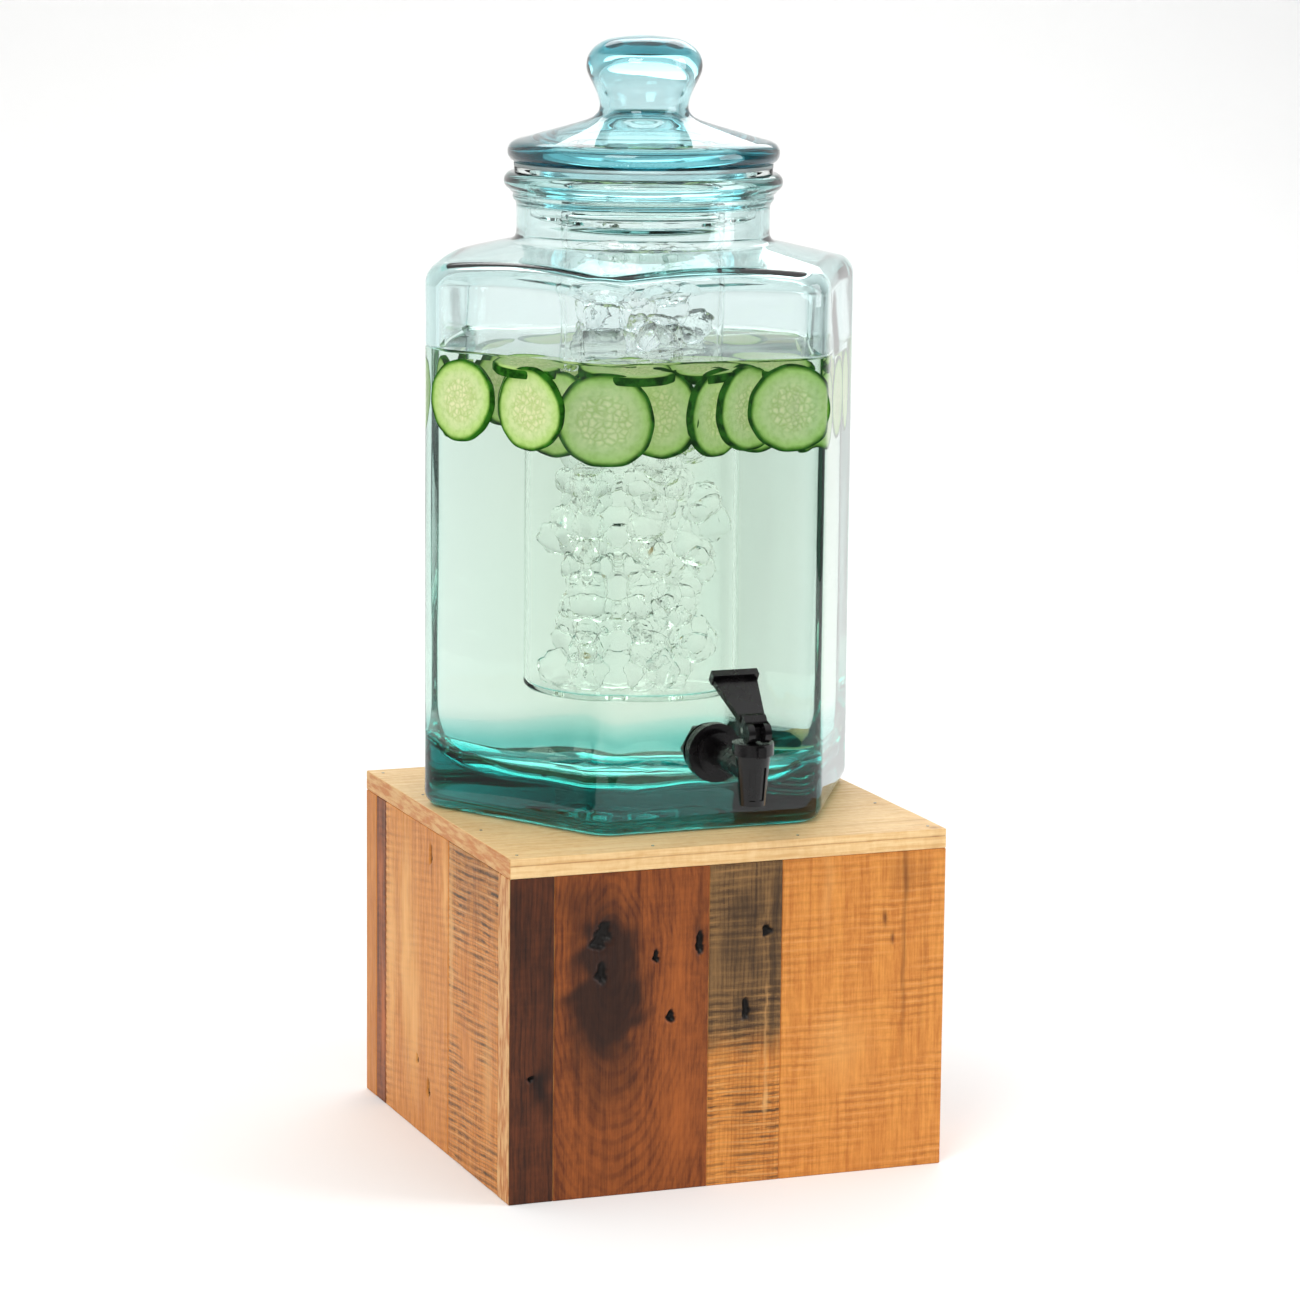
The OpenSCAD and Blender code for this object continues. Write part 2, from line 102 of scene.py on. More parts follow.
def areaLight(name, place, aim, size, power, tint):
    # a rectangle of light at place, turned so that it faces aim
    data = bpy.data.lights.new(name, "AREA")
    data.shape = "RECTANGLE"
    data.size, data.size_y = size
    data.energy = power
    data.color = tint
    lamp = bpy.data.objects.new(name, data)
    bpy.context.collection.objects.link(lamp)
    lamp.location = place
    lamp.rotation_euler = (Vector(aim) - Vector(place)).to_track_quat("-Z", "Y").to_euler()


def buildStudio():
    # white world light graded by direction, a paper floor that curves up behind, and three area lights
    scene = bpy.context.scene
    scene.view_settings.view_transform = "Standard"
    scene.cycles.max_bounces = 28
    scene.cycles.transmission_bounces = 28
    scene.cycles.glossy_bounces = 6
    scene.cycles.diffuse_bounces = 4
    scene.cycles.transparent_max_bounces = 12
    scene.cycles.sample_clamp_indirect = 6
    world = bpy.data.worlds.new("studio")
    scene.world = world
    world.use_nodes = True
    # brightness grows with height and towards the back; what the camera sees directly stays white
    w = Wires(world.node_tree)
    apart = w.node("ShaderNodeSeparateXYZ")
    w.link(w.node("ShaderNodeTexCoord").outputs["Generated"], apart.inputs[0])
    level = w.ramp(apart.outputs[1], -0.2, 0.75, studio["skyFront"], studio["skyBack"])
    overhead = w.ramp(apart.outputs[2], 0.25, 0.85, studio["skyFront"], studio["skyTop"])
    level = w.maths("MAXIMUM", level, overhead)
    seen = w.node("ShaderNodeLightPath").outputs["Is Camera Ray"]
    sky = world.node_tree.nodes["Background"]
    w.link(w.maths("MAXIMUM", level, seen), sky.inputs["Strength"])
    sky.inputs["Color"].default_value = (1.0, 1.0, 1.0, 1)
    # paper sweep: flat floor, then a quarter circle up into a wall behind, as a profile along X
    radius, back = studio["sweepRound"], studio["sweepBack"]
    arc = np.linspace(0, math.pi / 2, 13)
    run = np.concatenate([[studio["sweepFront"]], back - radius + radius * np.sin(arc), [back]])
    rise = np.concatenate([[0.0], radius - radius * np.cos(arc), [studio["sweepRise"]]])
    across = np.array(studio["sweepSides"])
    grid = np.stack(np.broadcast_arrays(across[None, :], run[:, None], rise[:, None]), axis=-1)
    sweep = gridMesh("studio_paper", grid, smooth=True)
    sweep.data.materials.append(plainMaterial("paper", studio["paper"], 0.9))
    # the paper's rear side is clear, so the object can also be seen from behind it
    tree = sweep.data.materials[0].node_tree
    w = Wires(tree)
    output = tree.nodes["Material Output"]
    sheet = output.inputs["Surface"].links[0].from_socket
    blend = w.node("ShaderNodeMixShader")
    w.link(w.node("ShaderNodeNewGeometry").outputs["Backfacing"], blend.inputs[0])
    w.link(sheet, blend.inputs[1])
    w.link(w.node("ShaderNodeBsdfTransparent").outputs[0], blend.inputs[2])
    w.link(blend.outputs[0], output.inputs["Surface"])
    for name, settings in studio["lights"].items():
        areaLight(name, *settings)


def putMesh(name, points, quads, tris=(), smooth=True, flatEnds=False):
    # a new piece from its points and faces; flatEnds leaves the triangles of the end fans unsmoothed
    mesh = bpy.data.meshes.new(name)
    faces = [tuple(q) for q in np.asarray(quads, int).reshape(-1, 4)]
    faces += [tuple(t) for t in np.asarray(tris, int).reshape(-1, 3)]
    mesh.from_pydata(np.asarray(points, float).tolist(), [], faces)
    shading = np.full(len(mesh.polygons), smooth)
    if flatEnds:
        shading[len(quads):] = False
    mesh.polygons.foreach_set("use_smooth", shading)
    mesh.update()
    piece = bpy.data.objects.new(name, mesh)
    bpy.context.collection.objects.link(piece)
    return piece


def gridFaces(rows, cols, wrapCols=False, offset=0):
    # quads of a grid whose point (i, j) has number i * cols + j
    i, j = np.meshgrid(np.arange(rows - 1), np.arange(cols if wrapCols else cols - 1), indexing="ij")
    k = (j + 1) % cols
    quads = np.stack([i * cols + j, i * cols + k, (i + 1) * cols + k, (i + 1) * cols + j], axis=-1)
    return quads.reshape(-1, 4) + offset


def gridMesh(name, grid, smooth=True):
    # an open sheet: every point of the grid joined to its neighbours
    rows, cols = grid.shape[:2]
    return putMesh(name, grid.reshape(-1, 3), gridFaces(rows, cols), smooth=smooth)


def shellFaces(rows, cols, offset=0):
    # a tube of rings, with its first and last ring each closed by a fan to one extra point
    quads = gridFaces(rows, cols, True, offset)
    j = np.arange(cols)
    k = (j + 1) % cols
    first = offset + rows * cols
    low = np.stack([k, j, np.full(cols, first - offset)], axis=-1) + offset
    high = np.stack([j, k, np.full(cols, 0)], axis=-1) + offset + (rows - 1) * cols
    high[:, 2] = first + 1
    return quads, np.concatenate([low, high])


class Shells:  # gathers closed shells into one mesh
    def __init__(self):
        self.points, self.quads, self.tris, self.tags, self.count = [], [], [], [], 0

    def add(self, grid, lowPole=None, highPole=None, tag=None):
        # grid: rings by points by 3, each ring running anticlockwise seen from the high end
        rows, cols = grid.shape[:2]
        lowPole = grid[0].mean(0) if lowPole is None else np.asarray(lowPole, float)
        highPole = grid[-1].mean(0) if highPole is None else np.asarray(highPole, float)
        quads, tris = shellFaces(rows, cols, self.count)
        self.points.append(np.concatenate([grid.reshape(-1, 3), [lowPole, highPole]]))
        self.quads.append(quads)
        self.tris.append(tris)
        if tag is not None:
            flat = np.asarray(tag, float).reshape(rows * cols, -1)
            poles = np.stack([flat[:cols].mean(0), flat[-cols:].mean(0)])
            self.tags.append(np.concatenate([flat, poles]))
        self.count += rows * cols + 2

    def build(self, name, smooth=True, tagNames=(), flatEnds=False):
        # one mesh of all shells; each column of the tags becomes a point attribute
        piece = putMesh(name, np.concatenate(self.points), np.concatenate(self.quads),
                        np.concatenate(self.tris), smooth, flatEnds)
        if self.tags:
            values = np.concatenate(self.tags)
            for column, tagName in enumerate(tagNames):
                layer = piece.data.attributes.new(tagName, "FLOAT", "POINT")
                layer.data.foreach_set("value", values[:, column].astype(np.float32))
        return piece


def lathe(profile, centre, sides=96):
    # each profile point (r, z) turned about the vertical line through centre
    profile = np.asarray(profile, float)
    angle = np.arange(sides) / sides * 2 * np.pi
    grid = np.zeros((len(profile), sides, 3))
    grid[..., 0] = profile[:, None, 0] * np.cos(angle)
    grid[..., 1] = profile[:, None, 0] * np.sin(angle)
    grid[..., 2] = profile[:, None, 1]
    return grid + np.asarray(centre, float)


def arcPoints(cx, cy, radius, a, b, count=8):  # points on a circle from angle a to b, degrees
    t = np.radians(np.linspace(a, b, count))
    return np.stack([cx + radius * np.cos(t), cy + radius * np.sin(t)], axis=-1)


def smoothPath(points, count):
    # Catmull-Rom curve through the points, evenly sampled by chord length
    p = np.asarray(points, float)
    q = np.concatenate([[2 * p[0] - p[1]], p, [2 * p[-1] - p[-2]]])
    t = np.linspace(0, 1, 12, endpoint=False)[None, :, None]
    a, b, c, d = q[:-3, None], q[1:-2, None], q[2:-1, None], q[3:, None]
    curve = 0.5 * (2 * b + (c - a) * t + (2 * a - 5 * b + 4 * c - d) * t**2 + (3 * b - a - 3 * c + d) * t**3)
    curve = np.concatenate([curve.reshape(-1, p.shape[1]), p[-1:]])
    along = np.concatenate([[0], np.cumsum(np.linalg.norm(np.diff(curve, axis=0), axis=1))])
    even = np.linspace(0, along[-1], count)
    return np.stack([np.interp(even, along, curve[:, k]) for k in range(p.shape[1])], axis=-1)


def ripples(x, y, z, seed, scale):
    # sum of eight sine waves in seeded directions, about -1 to 1; scale is a wavelength in metres
    rng = np.random.default_rng(seed)
    total = np.zeros(np.broadcast(x, y, z).shape)
    for _ in range(8):
        way = rng.normal(size=3)
        way /= np.linalg.norm(way)
        wave = scale * rng.uniform(0.6, 1.8)
        along = x * way[0] + y * way[1] + z * way[2]
        total = total + np.sin(2 * np.pi * along / wave + rng.uniform(0, 6.3))
    return total / 4


def newMaterial(name):  # with its node tree and main shader
    mat = bpy.data.materials.new(name)
    mat.use_nodes = True
    return mat, mat.node_tree, mat.node_tree.nodes["Principled BSDF"]


def plainMaterial(name, colour, roughness):  # one colour, one roughness
    mat, _, shader = newMaterial(name)
    shader.inputs["Base Color"].default_value = (*colour, 1)
    shader.inputs["Roughness"].default_value = roughness
    return mat


class Wires:  # short ways to add shader nodes
    def __init__(self, tree):
        self.tree = tree

    def node(self, kind, **settings):
        made = self.tree.nodes.new(kind)
        for key, value in settings.items():
            setattr(made, key, value)
        return made

    def link(self, value, socket):
        if isinstance(value, bpy.types.NodeSocket):
            self.tree.links.new(value, socket)
        elif isinstance(value, (tuple, list)) and len(value) == 3 and len(socket.default_value) == 4:
            socket.default_value = (*value, 1)
        else:
            socket.default_value = value

    def maths(self, operation, a, b=0.0, c=0.0, clamp=False):
        made = self.node("ShaderNodeMath", operation=operation, use_clamp=clamp)
        for socket, value in zip(made.inputs, (a, b, c)):
            self.link(value, socket)
        return made.outputs[0]

    def ramp(self, value, low, high, toLow=0.0, toHigh=1.0):
        made = self.node("ShaderNodeMapRange", interpolation_type="SMOOTHSTEP")
        for socket, given in zip(made.inputs, (value, low, high, toLow, toHigh)):
            self.link(given, socket)
        return made.outputs[0]

    def mix(self, share, a, b, blend="MIX"):
        made = self.node("ShaderNodeMix", data_type="RGBA", blend_type=blend)
        self.link(share, made.inputs[0])
        self.link(a, made.inputs[6])
        self.link(b, made.inputs[7])
        return made.outputs[2]

    def place(self, scale=(1, 1, 1), shift=(0, 0, 0)):
        coords = self.node("ShaderNodeTexCoord")
        made = self.node("ShaderNodeMapping")
        self.link(coords.outputs["Object"], made.inputs["Vector"])
        made.inputs["Scale"].default_value = scale
        made.inputs["Location"].default_value = shift
        return made.outputs[0]

    def noise(self, vector, scale, detail=4.0, rough=0.55, distort=0.0):
        made = self.node("ShaderNodeTexNoise")
        for key, value in (("Vector", vector), ("Scale", scale), ("Detail", detail),
                           ("Roughness", rough), ("Distortion", distort)):
            self.link(value, made.inputs[key])
        return made.outputs[0]

    def attribute(self, name):
        return self.node("ShaderNodeAttribute", attribute_name=name).outputs["Fac"]

    def bump(self, height, strength, distance):
        made = self.node("ShaderNodeBump")
        made.inputs["Strength"].default_value = strength
        made.inputs["Distance"].default_value = distance
        self.link(height, made.inputs["Height"])
        return made.outputs[0]


glassIor, waterIor = 1.5, 1.33
noBend = 1.002  # so near 1 that light goes straight through


def glassMaterial(name, tint, density, ior, roughness=0.0, wobble=None, wetIor=None):
    # clear body, coloured only by how deep the light goes through it; wet faces bend light by wetIor instead
    mat, tree, shader = newMaterial(name)
    shader.inputs["Base Color"].default_value = (1, 1, 1, 1)
    shader.inputs["Transmission Weight"].default_value = 1.0
    shader.inputs["Roughness"].default_value = roughness
    shader.inputs["IOR"].default_value = ior
    body = tree.nodes.new("ShaderNodeVolumeAbsorption")
    body.inputs["Color"].default_value = (*tint, 1)
    body.inputs["Density"].default_value = density
    tree.links.new(body.outputs[0], tree.nodes["Material Output"].inputs["Volume"])
    w = Wires(tree)
    if wetIor:
        tree.links.new(w.maths("MULTIPLY_ADD", w.attribute("wet"), wetIor - ior, ior), shader.inputs["IOR"])
    if wobble:
        height = w.noise(w.place((1, 1, 0.5)), wobble[0], 2.0)
        tree.links.new(w.bump(height, 1.0, wobble[1]), shader.inputs["Normal"])
    return mat


# the jar: sizes read from its CAD node, then what is free to change
jarLow, jarHigh = nodeBox("jar")
jarAxis = np.array([0.0, (jarLow[1] + jarHigh[1]) / 2, 0.0])
jarFoot, jarLip = jarLow[2], jarHigh[2]
mouthRadius = 0.064

jarShape = {
    "apothem": (jarHigh[1] - jarLow[1]) / 2,
    "corner": 17.5 * mm,  # radius of the vertical corners
    "cornerInside": 24 * mm,  # rounder than outside, so the corners are thick
    "wall": 4.4 * mm,
    "base": 16 * mm,
    "punt": 6.0 * mm,  # rise in the middle of the base
    "bendIn": 72 * mm,  # where the wall bends into the floor: how far in and how high
    "bendUp": 24 * mm,
    "cornerRise": 4.5 * mm,  # the floor climbs higher in the corners
    "floorWaves": 1.1 * mm,
    "slope": 13.0,  # of the shoulder, degrees
    "shoulderRound": 12 * mm,
    "neckRadius": 69.5 * mm,
    "neckFoot": jarLip - 36.5 * mm,  # height where slope and neck would meet
    "footRound": 9 * mm,  # radius between underside and wall
    "bead": 5.0 * mm,  # radius of the rolled lip
    "sides": 240,
    "glassTint": (0.09, 0.68, 0.65),
    "glassDensity": 30.0,
    "baseTint": (0.0, 0.86, 0.88),  # added in the thick base
    "baseDensity": 20.0,
}


def hexReach(angle, apothem, corner):
    # distance from the axis to a six-sided outline with round corners, flats facing +Y and -Y
    turned = (angle - np.pi / 2 + np.pi / 6) % (np.pi / 3) - np.pi / 6  # from the middle of the nearest flat
    flat = apothem / np.cos(turned)
    off = np.pi / 6 - np.abs(turned)  # from the nearest corner
    reach = (apothem - corner) / np.cos(np.pi / 6)
    root = np.maximum(corner**2 - (reach * np.sin(off)) ** 2, 0)
    rounded = reach * np.cos(off) + np.sqrt(root)
    onFlat = apothem * np.abs(np.tan(turned)) <= (apothem - corner) * np.tan(np.pi / 6)
    return np.where(onFlat, flat, rounded)


def shoulderCurve(reach, neckRadius, neckFoot, slope, big, small):
    # per angle: quarter-like arc off the wall, straight slope, small hollow arc into the neck
    lean = math.radians(slope)
    lineAt = lambda r: neckFoot - (r - neckRadius) * math.tan(lean)
    bigX, bigZ = reach - big, lineAt(reach - big) - big / math.cos(lean)
    smallX, smallZ = neckRadius + small, lineAt(neckRadius + small) + small / math.cos(lean)
    t = np.radians(np.linspace(0, 90 - slope, 14))[:, None]
    first = np.stack([bigX + big * np.cos(t), bigZ + big * np.sin(t)], axis=-1)
    s = np.radians(np.linspace(270 - slope, 180, 9))[:, None]
    arcX, arcZ = smallX + small * np.cos(s), smallZ + small * np.sin(s) + 0 * reach
    last = np.stack(np.broadcast_arrays(arcX, arcZ), axis=-1)
    t = np.linspace(0, 1, 8)[1:-1, None, None]
    middle = first[-1] * (1 - t) + last[0] * t
    return np.concatenate([first, middle, last])


def jarOutline(inset, angle):
    # rings of (r, z) per angle, from the foot up to the neck's foot; inset moves it inside by the wall
    shape = jarShape
    corner = shape["cornerInside"] if inset else shape["corner"]
    reach = hexReach(angle, shape["apothem"] - inset, corner)
    slopeDown = inset / math.cos(math.radians(shape["slope"]))
    top = shoulderCurve(reach, shape["neckRadius"] - inset * 1.1, shape["neckFoot"] - slopeDown,
                        shape["slope"], shape["shoulderRound"] - inset * 0.5, 5 * mm + inset)
    return reach, top


def insideRows(inset, angle, shoulderIn=False):
    # rings of (r, z) from the top of the straight wall down to the middle of the floor
    reach, shoulder = jarOutline(inset, angle)
    rows = list(shoulder[::-1][1:]) if shoulderIn else []
    ring = np.ones_like(angle)
    floorZ = jarFoot + jarShape["base"] - (jarShape["wall"] - inset)
    bendIn, bendUp = jarShape["bendIn"], jarShape["bendUp"]
    bendUp = bendUp + jarShape["cornerRise"] * 0.5 * (1 - np.cos(6 * (angle - np.pi / 2)))
    top = shoulder[0, :, 1]
    for t in np.linspace(1, 0, 40)[1:-1]:
        rows.append(np.stack([reach, floorZ + bendUp + (top - floorZ - bendUp) * t], axis=-1))
    for t in np.radians(np.linspace(0, -90, 20)):
        rows.append(np.stack([reach - bendIn + bendIn * math.cos(t),
                              floorZ + bendUp * (1 + math.sin(t))], axis=-1))
    for share in (0.93, 0.86, 0.78, 0.7, 0.6, 0.5, 0.4, 0.3, 0.2, 0.1):
        lift = jarShape["punt"] * 0.5 * (1 + math.cos(math.pi * min(share / 0.9, 1)))
        rows.append(np.stack([(reach - bendIn) * share, ring * (floorZ + lift)], axis=-1))
    return rows


def turnRings(rings, angle):
    # rings of (r, z) per angle as points round the upright axis
    return np.stack([rings[..., 0] * np.cos(angle), rings[..., 0] * np.sin(angle), rings[..., 1]], axis=-1)


def unevenness(grid, radius, angle, inside):
    # hand-made glass: the inside wanders both ways and its floor is wavy, the outside only ever moves inwards
    x, y, z = grid[..., 0], grid[..., 1], grid[..., 2]
    wander, fine = ripples(x, y, z * 0.6, 11, 0.085), ripples(x, y, z, 12, 0.03)
    upright = (radius > 80 * mm) & (z < jarLip - 60 * mm) & (z > jarFoot + 12 * mm)
    push = 0.35 * mm * wander + 0.06 * mm * fine if inside else -0.10 * mm * (1 + wander) - 0.02 * mm
    radial = np.stack([np.cos(angle), np.sin(angle), 0 * angle], axis=-1)
    shift = np.where(upright, push, 0)[..., None] * radial
    if inside:
        low = z < jarFoot + 40 * mm
        fade = np.clip((jarFoot + 40 * mm - z) / (20 * mm), 0, 1)
        waves = ripples(x, y, 0, 13, 0.06) + 0.4 * ripples(x, y, 0, 14, 0.028)
        shift[..., 2] += np.where(low, fade * jarShape["floorWaves"] * waves, 0)
    return shift


def markFaces(piece, rule, cols):
    # marks the faces that touch glass on one side and water on the other, by their centre and row of the grid
    mesh = piece.data
    centre = np.zeros(len(mesh.polygons) * 3)
    mesh.polygons.foreach_get("center", centre)
    row = np.arange(len(mesh.polygons)) // cols  # fans come last, after every row of quads
    fans = len(mesh.polygons) - 2 * cols
    row[fans:fans + cols], row[fans + cols:] = 0, row[fans - 1]
    picked = rule(centre.reshape(-1, 3), row)
    mesh.attributes.new("wet", "FLOAT", "FACE").data.foreach_set("value", picked.astype(np.float32))


def buildJar():
    # one closed body of rings: underside, wall, shoulder, neck and bead outside, then down the inside
    angle = np.arange(jarShape["sides"]) / jarShape["sides"] * 2 * np.pi
    ring = np.ones_like(angle)
    rows = []
    footRound, bead, neck = (jarShape[k] for k in ("footRound", "bead", "neckRadius"))
    # underside: a ring to stand on and a shallow hollow inside it
    reach, shoulder = jarOutline(0.0, angle)
    for share, lift in ((0.15, 4.2), (0.35, 3.6), (0.55, 2.2), (0.72, 0.7), (0.80, 0.0)):
        away = (reach - footRound) * share / 0.8 * 0.95
        rows.append(np.stack([away, ring * (jarFoot + lift * mm)], axis=-1))
    for t in np.radians(np.linspace(-90, 0, 9)):
        rows.append(np.stack([reach - footRound + footRound * math.cos(t),
                              ring * (jarFoot + footRound + footRound * math.sin(t))], axis=-1))
    wallTop = shoulder[0, :, 1]
    for t in np.linspace(0, 1, 34)[1:-1]:
        rows.append(np.stack([reach, jarFoot + footRound + (wallTop - jarFoot - footRound) * t], axis=-1))
    rows += list(shoulder)
    lipProfile = smoothPath([
        (neck, shoulder[-1, 0, 1] + 1 * mm), (neck, jarLip - 20 * mm),
        (neck + 0.6 * mm, jarLip - 16.5 * mm),
        (neck + 2.2 * mm, jarLip - 14.2 * mm), (neck + 2.0 * mm, jarLip - 11.6 * mm),
        (neck + 3.6 * mm, jarLip - 10.4 * mm)], 22)
    for r, z in lipProfile:
        rows.append(np.stack([ring * r, ring * z], axis=-1))
    beadMiddle = (neck + 7 * mm - bead, jarLip - 4.9 * mm)
    for r, z in arcPoints(*beadMiddle, bead, -70, 78, 14):
        rows.append(np.stack([ring * r, ring * min(z, jarLip)], axis=-1))
    inner = mouthRadius
    lipInner = smoothPath([(neck - 0.5 * mm, jarLip), (inner + 1.6 * mm, jarLip - 0.4 * mm),
                           (inner, jarLip - 2.4 * mm), (inner, jarLip - 12 * mm),
                           (inner, jarLip - 30 * mm)], 18)
    for r, z in lipInner:
        rows.append(np.stack([ring * r, ring * z], axis=-1))
    insideFrom = len(rows)
    rows += insideRows(jarShape["wall"], angle, shoulderIn=True)
    rings = np.stack(rows)
    grid = turnRings(rings, angle)
    isInner = (np.arange(len(rows)) >= insideFrom)[:, None]
    grid += np.where(isInner[..., None], unevenness(grid, rings[..., 0], angle, inside=True),
                     unevenness(grid, rings[..., 0], angle, inside=False))
    lowPole = jarAxis + [0, 0, jarFoot + 4.4 * mm]
    highPole = jarAxis + [0, 0, jarFoot + jarShape["base"] + jarShape["punt"]]
    shells = Shells()
    shells.add(grid + jarAxis, lowPole, highPole)
    jar = shells.build("jar_body")
    jar.data.materials.append(glassMaterial("jarGlass", jarShape["glassTint"], jarShape["glassDensity"],
                                            glassIor, wetIor=glassIor / waterIor))
    wetBelow = waterShape["level"] + 1 * mm
    markFaces(jar, lambda centre, row: (row >= insideFrom) & (centre[:, 2] < wetBelow), len(angle))
    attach(jar, "jar")
    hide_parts("jar")


def buildBaseTint():
    # the thick base holds deeper colour: a closed body wholly inside its glass, with no bending at its faces
    angle = np.arange(jarShape["sides"]) / jarShape["sides"] * 2 * np.pi
    ring, cover = np.ones_like(angle), 1.0 * mm
    outline = jarOutline(cover, angle)[0]
    inside = np.stack(insideRows(jarShape["wall"] - cover, angle))
    below = inside[:, :, 1].max(1) < jarFoot + jarShape["base"] + jarShape["bendUp"] * 0.75
    inside = inside[below]
    under = [np.stack([(outline - 9 * mm) * share, ring * (jarFoot + lift * mm)], axis=-1)
             for share, lift in ((0.15, 8.4), (0.4, 8.0), (0.6, 7.6), (0.8, 7.2), (1.0, 7.0))]
    under.append(np.stack([outline - 3 * mm, ring * (jarFoot + 8.0 * mm)], axis=-1))
    sides = [np.stack([outline, jarFoot + 11 * mm + (inside[0, :, 1] - jarFoot - 11 * mm) * t], axis=-1)
             for t in np.linspace(0, 1, 5)]
    rings = np.concatenate([np.stack(under + sides), inside])
    grid = turnRings(rings, angle)
    isInner = (np.arange(len(rings)) >= len(under) + len(sides))[:, None, None]
    grid += np.where(isInner, unevenness(grid, rings[..., 0], angle, inside=True), 0)
    shells = Shells()
    shells.add(grid + jarAxis)
    body = shells.build("jar_base_tint")
    deeper = glassMaterial("baseTint", jarShape["baseTint"], jarShape["baseDensity"], noBend)
    body.data.materials.append(deeper)
    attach(body, "jar")


lidShape = {
    "rim": 6.0 * mm,  # radius of the rounded rim
    "skirt": 57 * mm,  # outer radius of the ring that reaches into the jar's mouth
    "skirtWall": 2.8 * mm,
    "sides": 128,
    "glass": ((0.06, 0.66, 0.72), 56.0),  # tint and density
}


def buildLid():
    # one profile turned round the axis: skirt, rim, dome, waist and knob, with a hollow of the same form
    low, high = nodeBox("lid")
    base = nodeBox("lid_gasket")[1][2]  # the lid rests on the gasket
    rimRadius = (high[0] - low[0]) / 2
    tall = high[2] - base
    rim, skirt, thin, sides = (lidShape[k] for k in ("rim", "skirt", "skirtWall", "sides"))
    outer = np.concatenate([
        arcPoints(skirt - 1 * mm, low[2] + 1 * mm, 1 * mm, -90, 0, 4),
        [(skirt, base - 0.4 * mm), (rimRadius - rim, base)],
        arcPoints(rimRadius - rim, base + rim, rim, -80, 60, 14),
        smoothPath([
            (rimRadius - 4.6 * mm, base + 12.0 * mm), (rimRadius - 14 * mm, base + 14.6 * mm),
            (47 * mm, base + 18.4 * mm), (36 * mm, base + 21.6 * mm), (28.5 * mm, base + 24.4 * mm),
            (25.0 * mm, base + 27.6 * mm), (24.3 * mm, base + 31.5 * mm), (25.6 * mm, base + 37 * mm),
            (28.6 * mm, base + 43.5 * mm), (31.0 * mm, base + 48.5 * mm), (31.75 * mm, base + 53 * mm),
            (30.6 * mm, base + 58.2 * mm), (27.0 * mm, base + 62.8 * mm), (20.5 * mm, base + 66.6 * mm),
            (11 * mm, base + tall - 0.7 * mm), (3 * mm, base + tall - 0.05 * mm)], 70),
    ])
    inner = np.concatenate([
        smoothPath([
            (3 * mm, base + 58.5 * mm), (12 * mm, base + 58.2 * mm), (19.5 * mm, base + 56.6 * mm),
            (23.6 * mm, base + 52.8 * mm), (24.6 * mm, base + 48.5 * mm), (22.8 * mm, base + 43 * mm),
            (20.2 * mm, base + 37 * mm), (19.0 * mm, base + 31 * mm), (19.6 * mm, base + 26 * mm),
            (23 * mm, base + 20.6 * mm), (30 * mm, base + 16.6 * mm), (40 * mm, base + 12.8 * mm),
            (49 * mm, base + 8.6 * mm), (skirt - thin, base + 2.5 * mm)], 60),
        [(skirt - thin, base - 4 * mm)],
        arcPoints(skirt - thin + 1 * mm, low[2] + 1 * mm, 1 * mm, 180, 270, 4),
    ])
    # the wall is one closed band: outside up to the top, then back down the inside
    outside, inside = lathe(outer, jarAxis, sides), lathe(inner, jarAxis, sides)
    points = np.concatenate([outside.reshape(-1, 3), inside.reshape(-1, 3),
                             [jarAxis + [0, 0, base + tall], jarAxis + [0, 0, base + 58.55 * mm]]])
    nOut, nIn = len(outer), len(inner)
    quads = [gridFaces(nOut, sides, True), gridFaces(nIn, sides, True, nOut * sides)]
    j = np.arange(sides)
    k = (j + 1) % sides
    topRing, inTop = (nOut - 1) * sides, nOut * sides
    lastIn = (nOut + nIn - 1) * sides
    top, inPole = len(points) - 2, len(points) - 1
    quads.append(np.stack([lastIn + j, lastIn + k, k, j], axis=-1))  # joins the skirt's foot
    tris = np.concatenate([np.stack([topRing + j, topRing + k, np.full(sides, top)], axis=-1),
                           np.stack([inTop + k, inTop + j, np.full(sides, inPole)], axis=-1)])
    lid = putMesh("lid_body", points, np.concatenate(quads), tris)
    lid.data.materials.append(glassMaterial("lidGlass", *lidShape["glass"], glassIor))
    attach(lid, "lid")
    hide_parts("lid")


boardShape = {
    "edge": 0.8 * mm,  # radius along every edge
    "across": 1.15 * mm,  # spacing of the points on a show face
    "along": 0.85 * mm,
    "sawDepth": 0.34 * mm,
    "sawPitch": 4.7 * mm,
    "holeDepth": 3.2 * mm,
    "grooveDown": 4.2 * mm,  # glue line of the top, below its face
}

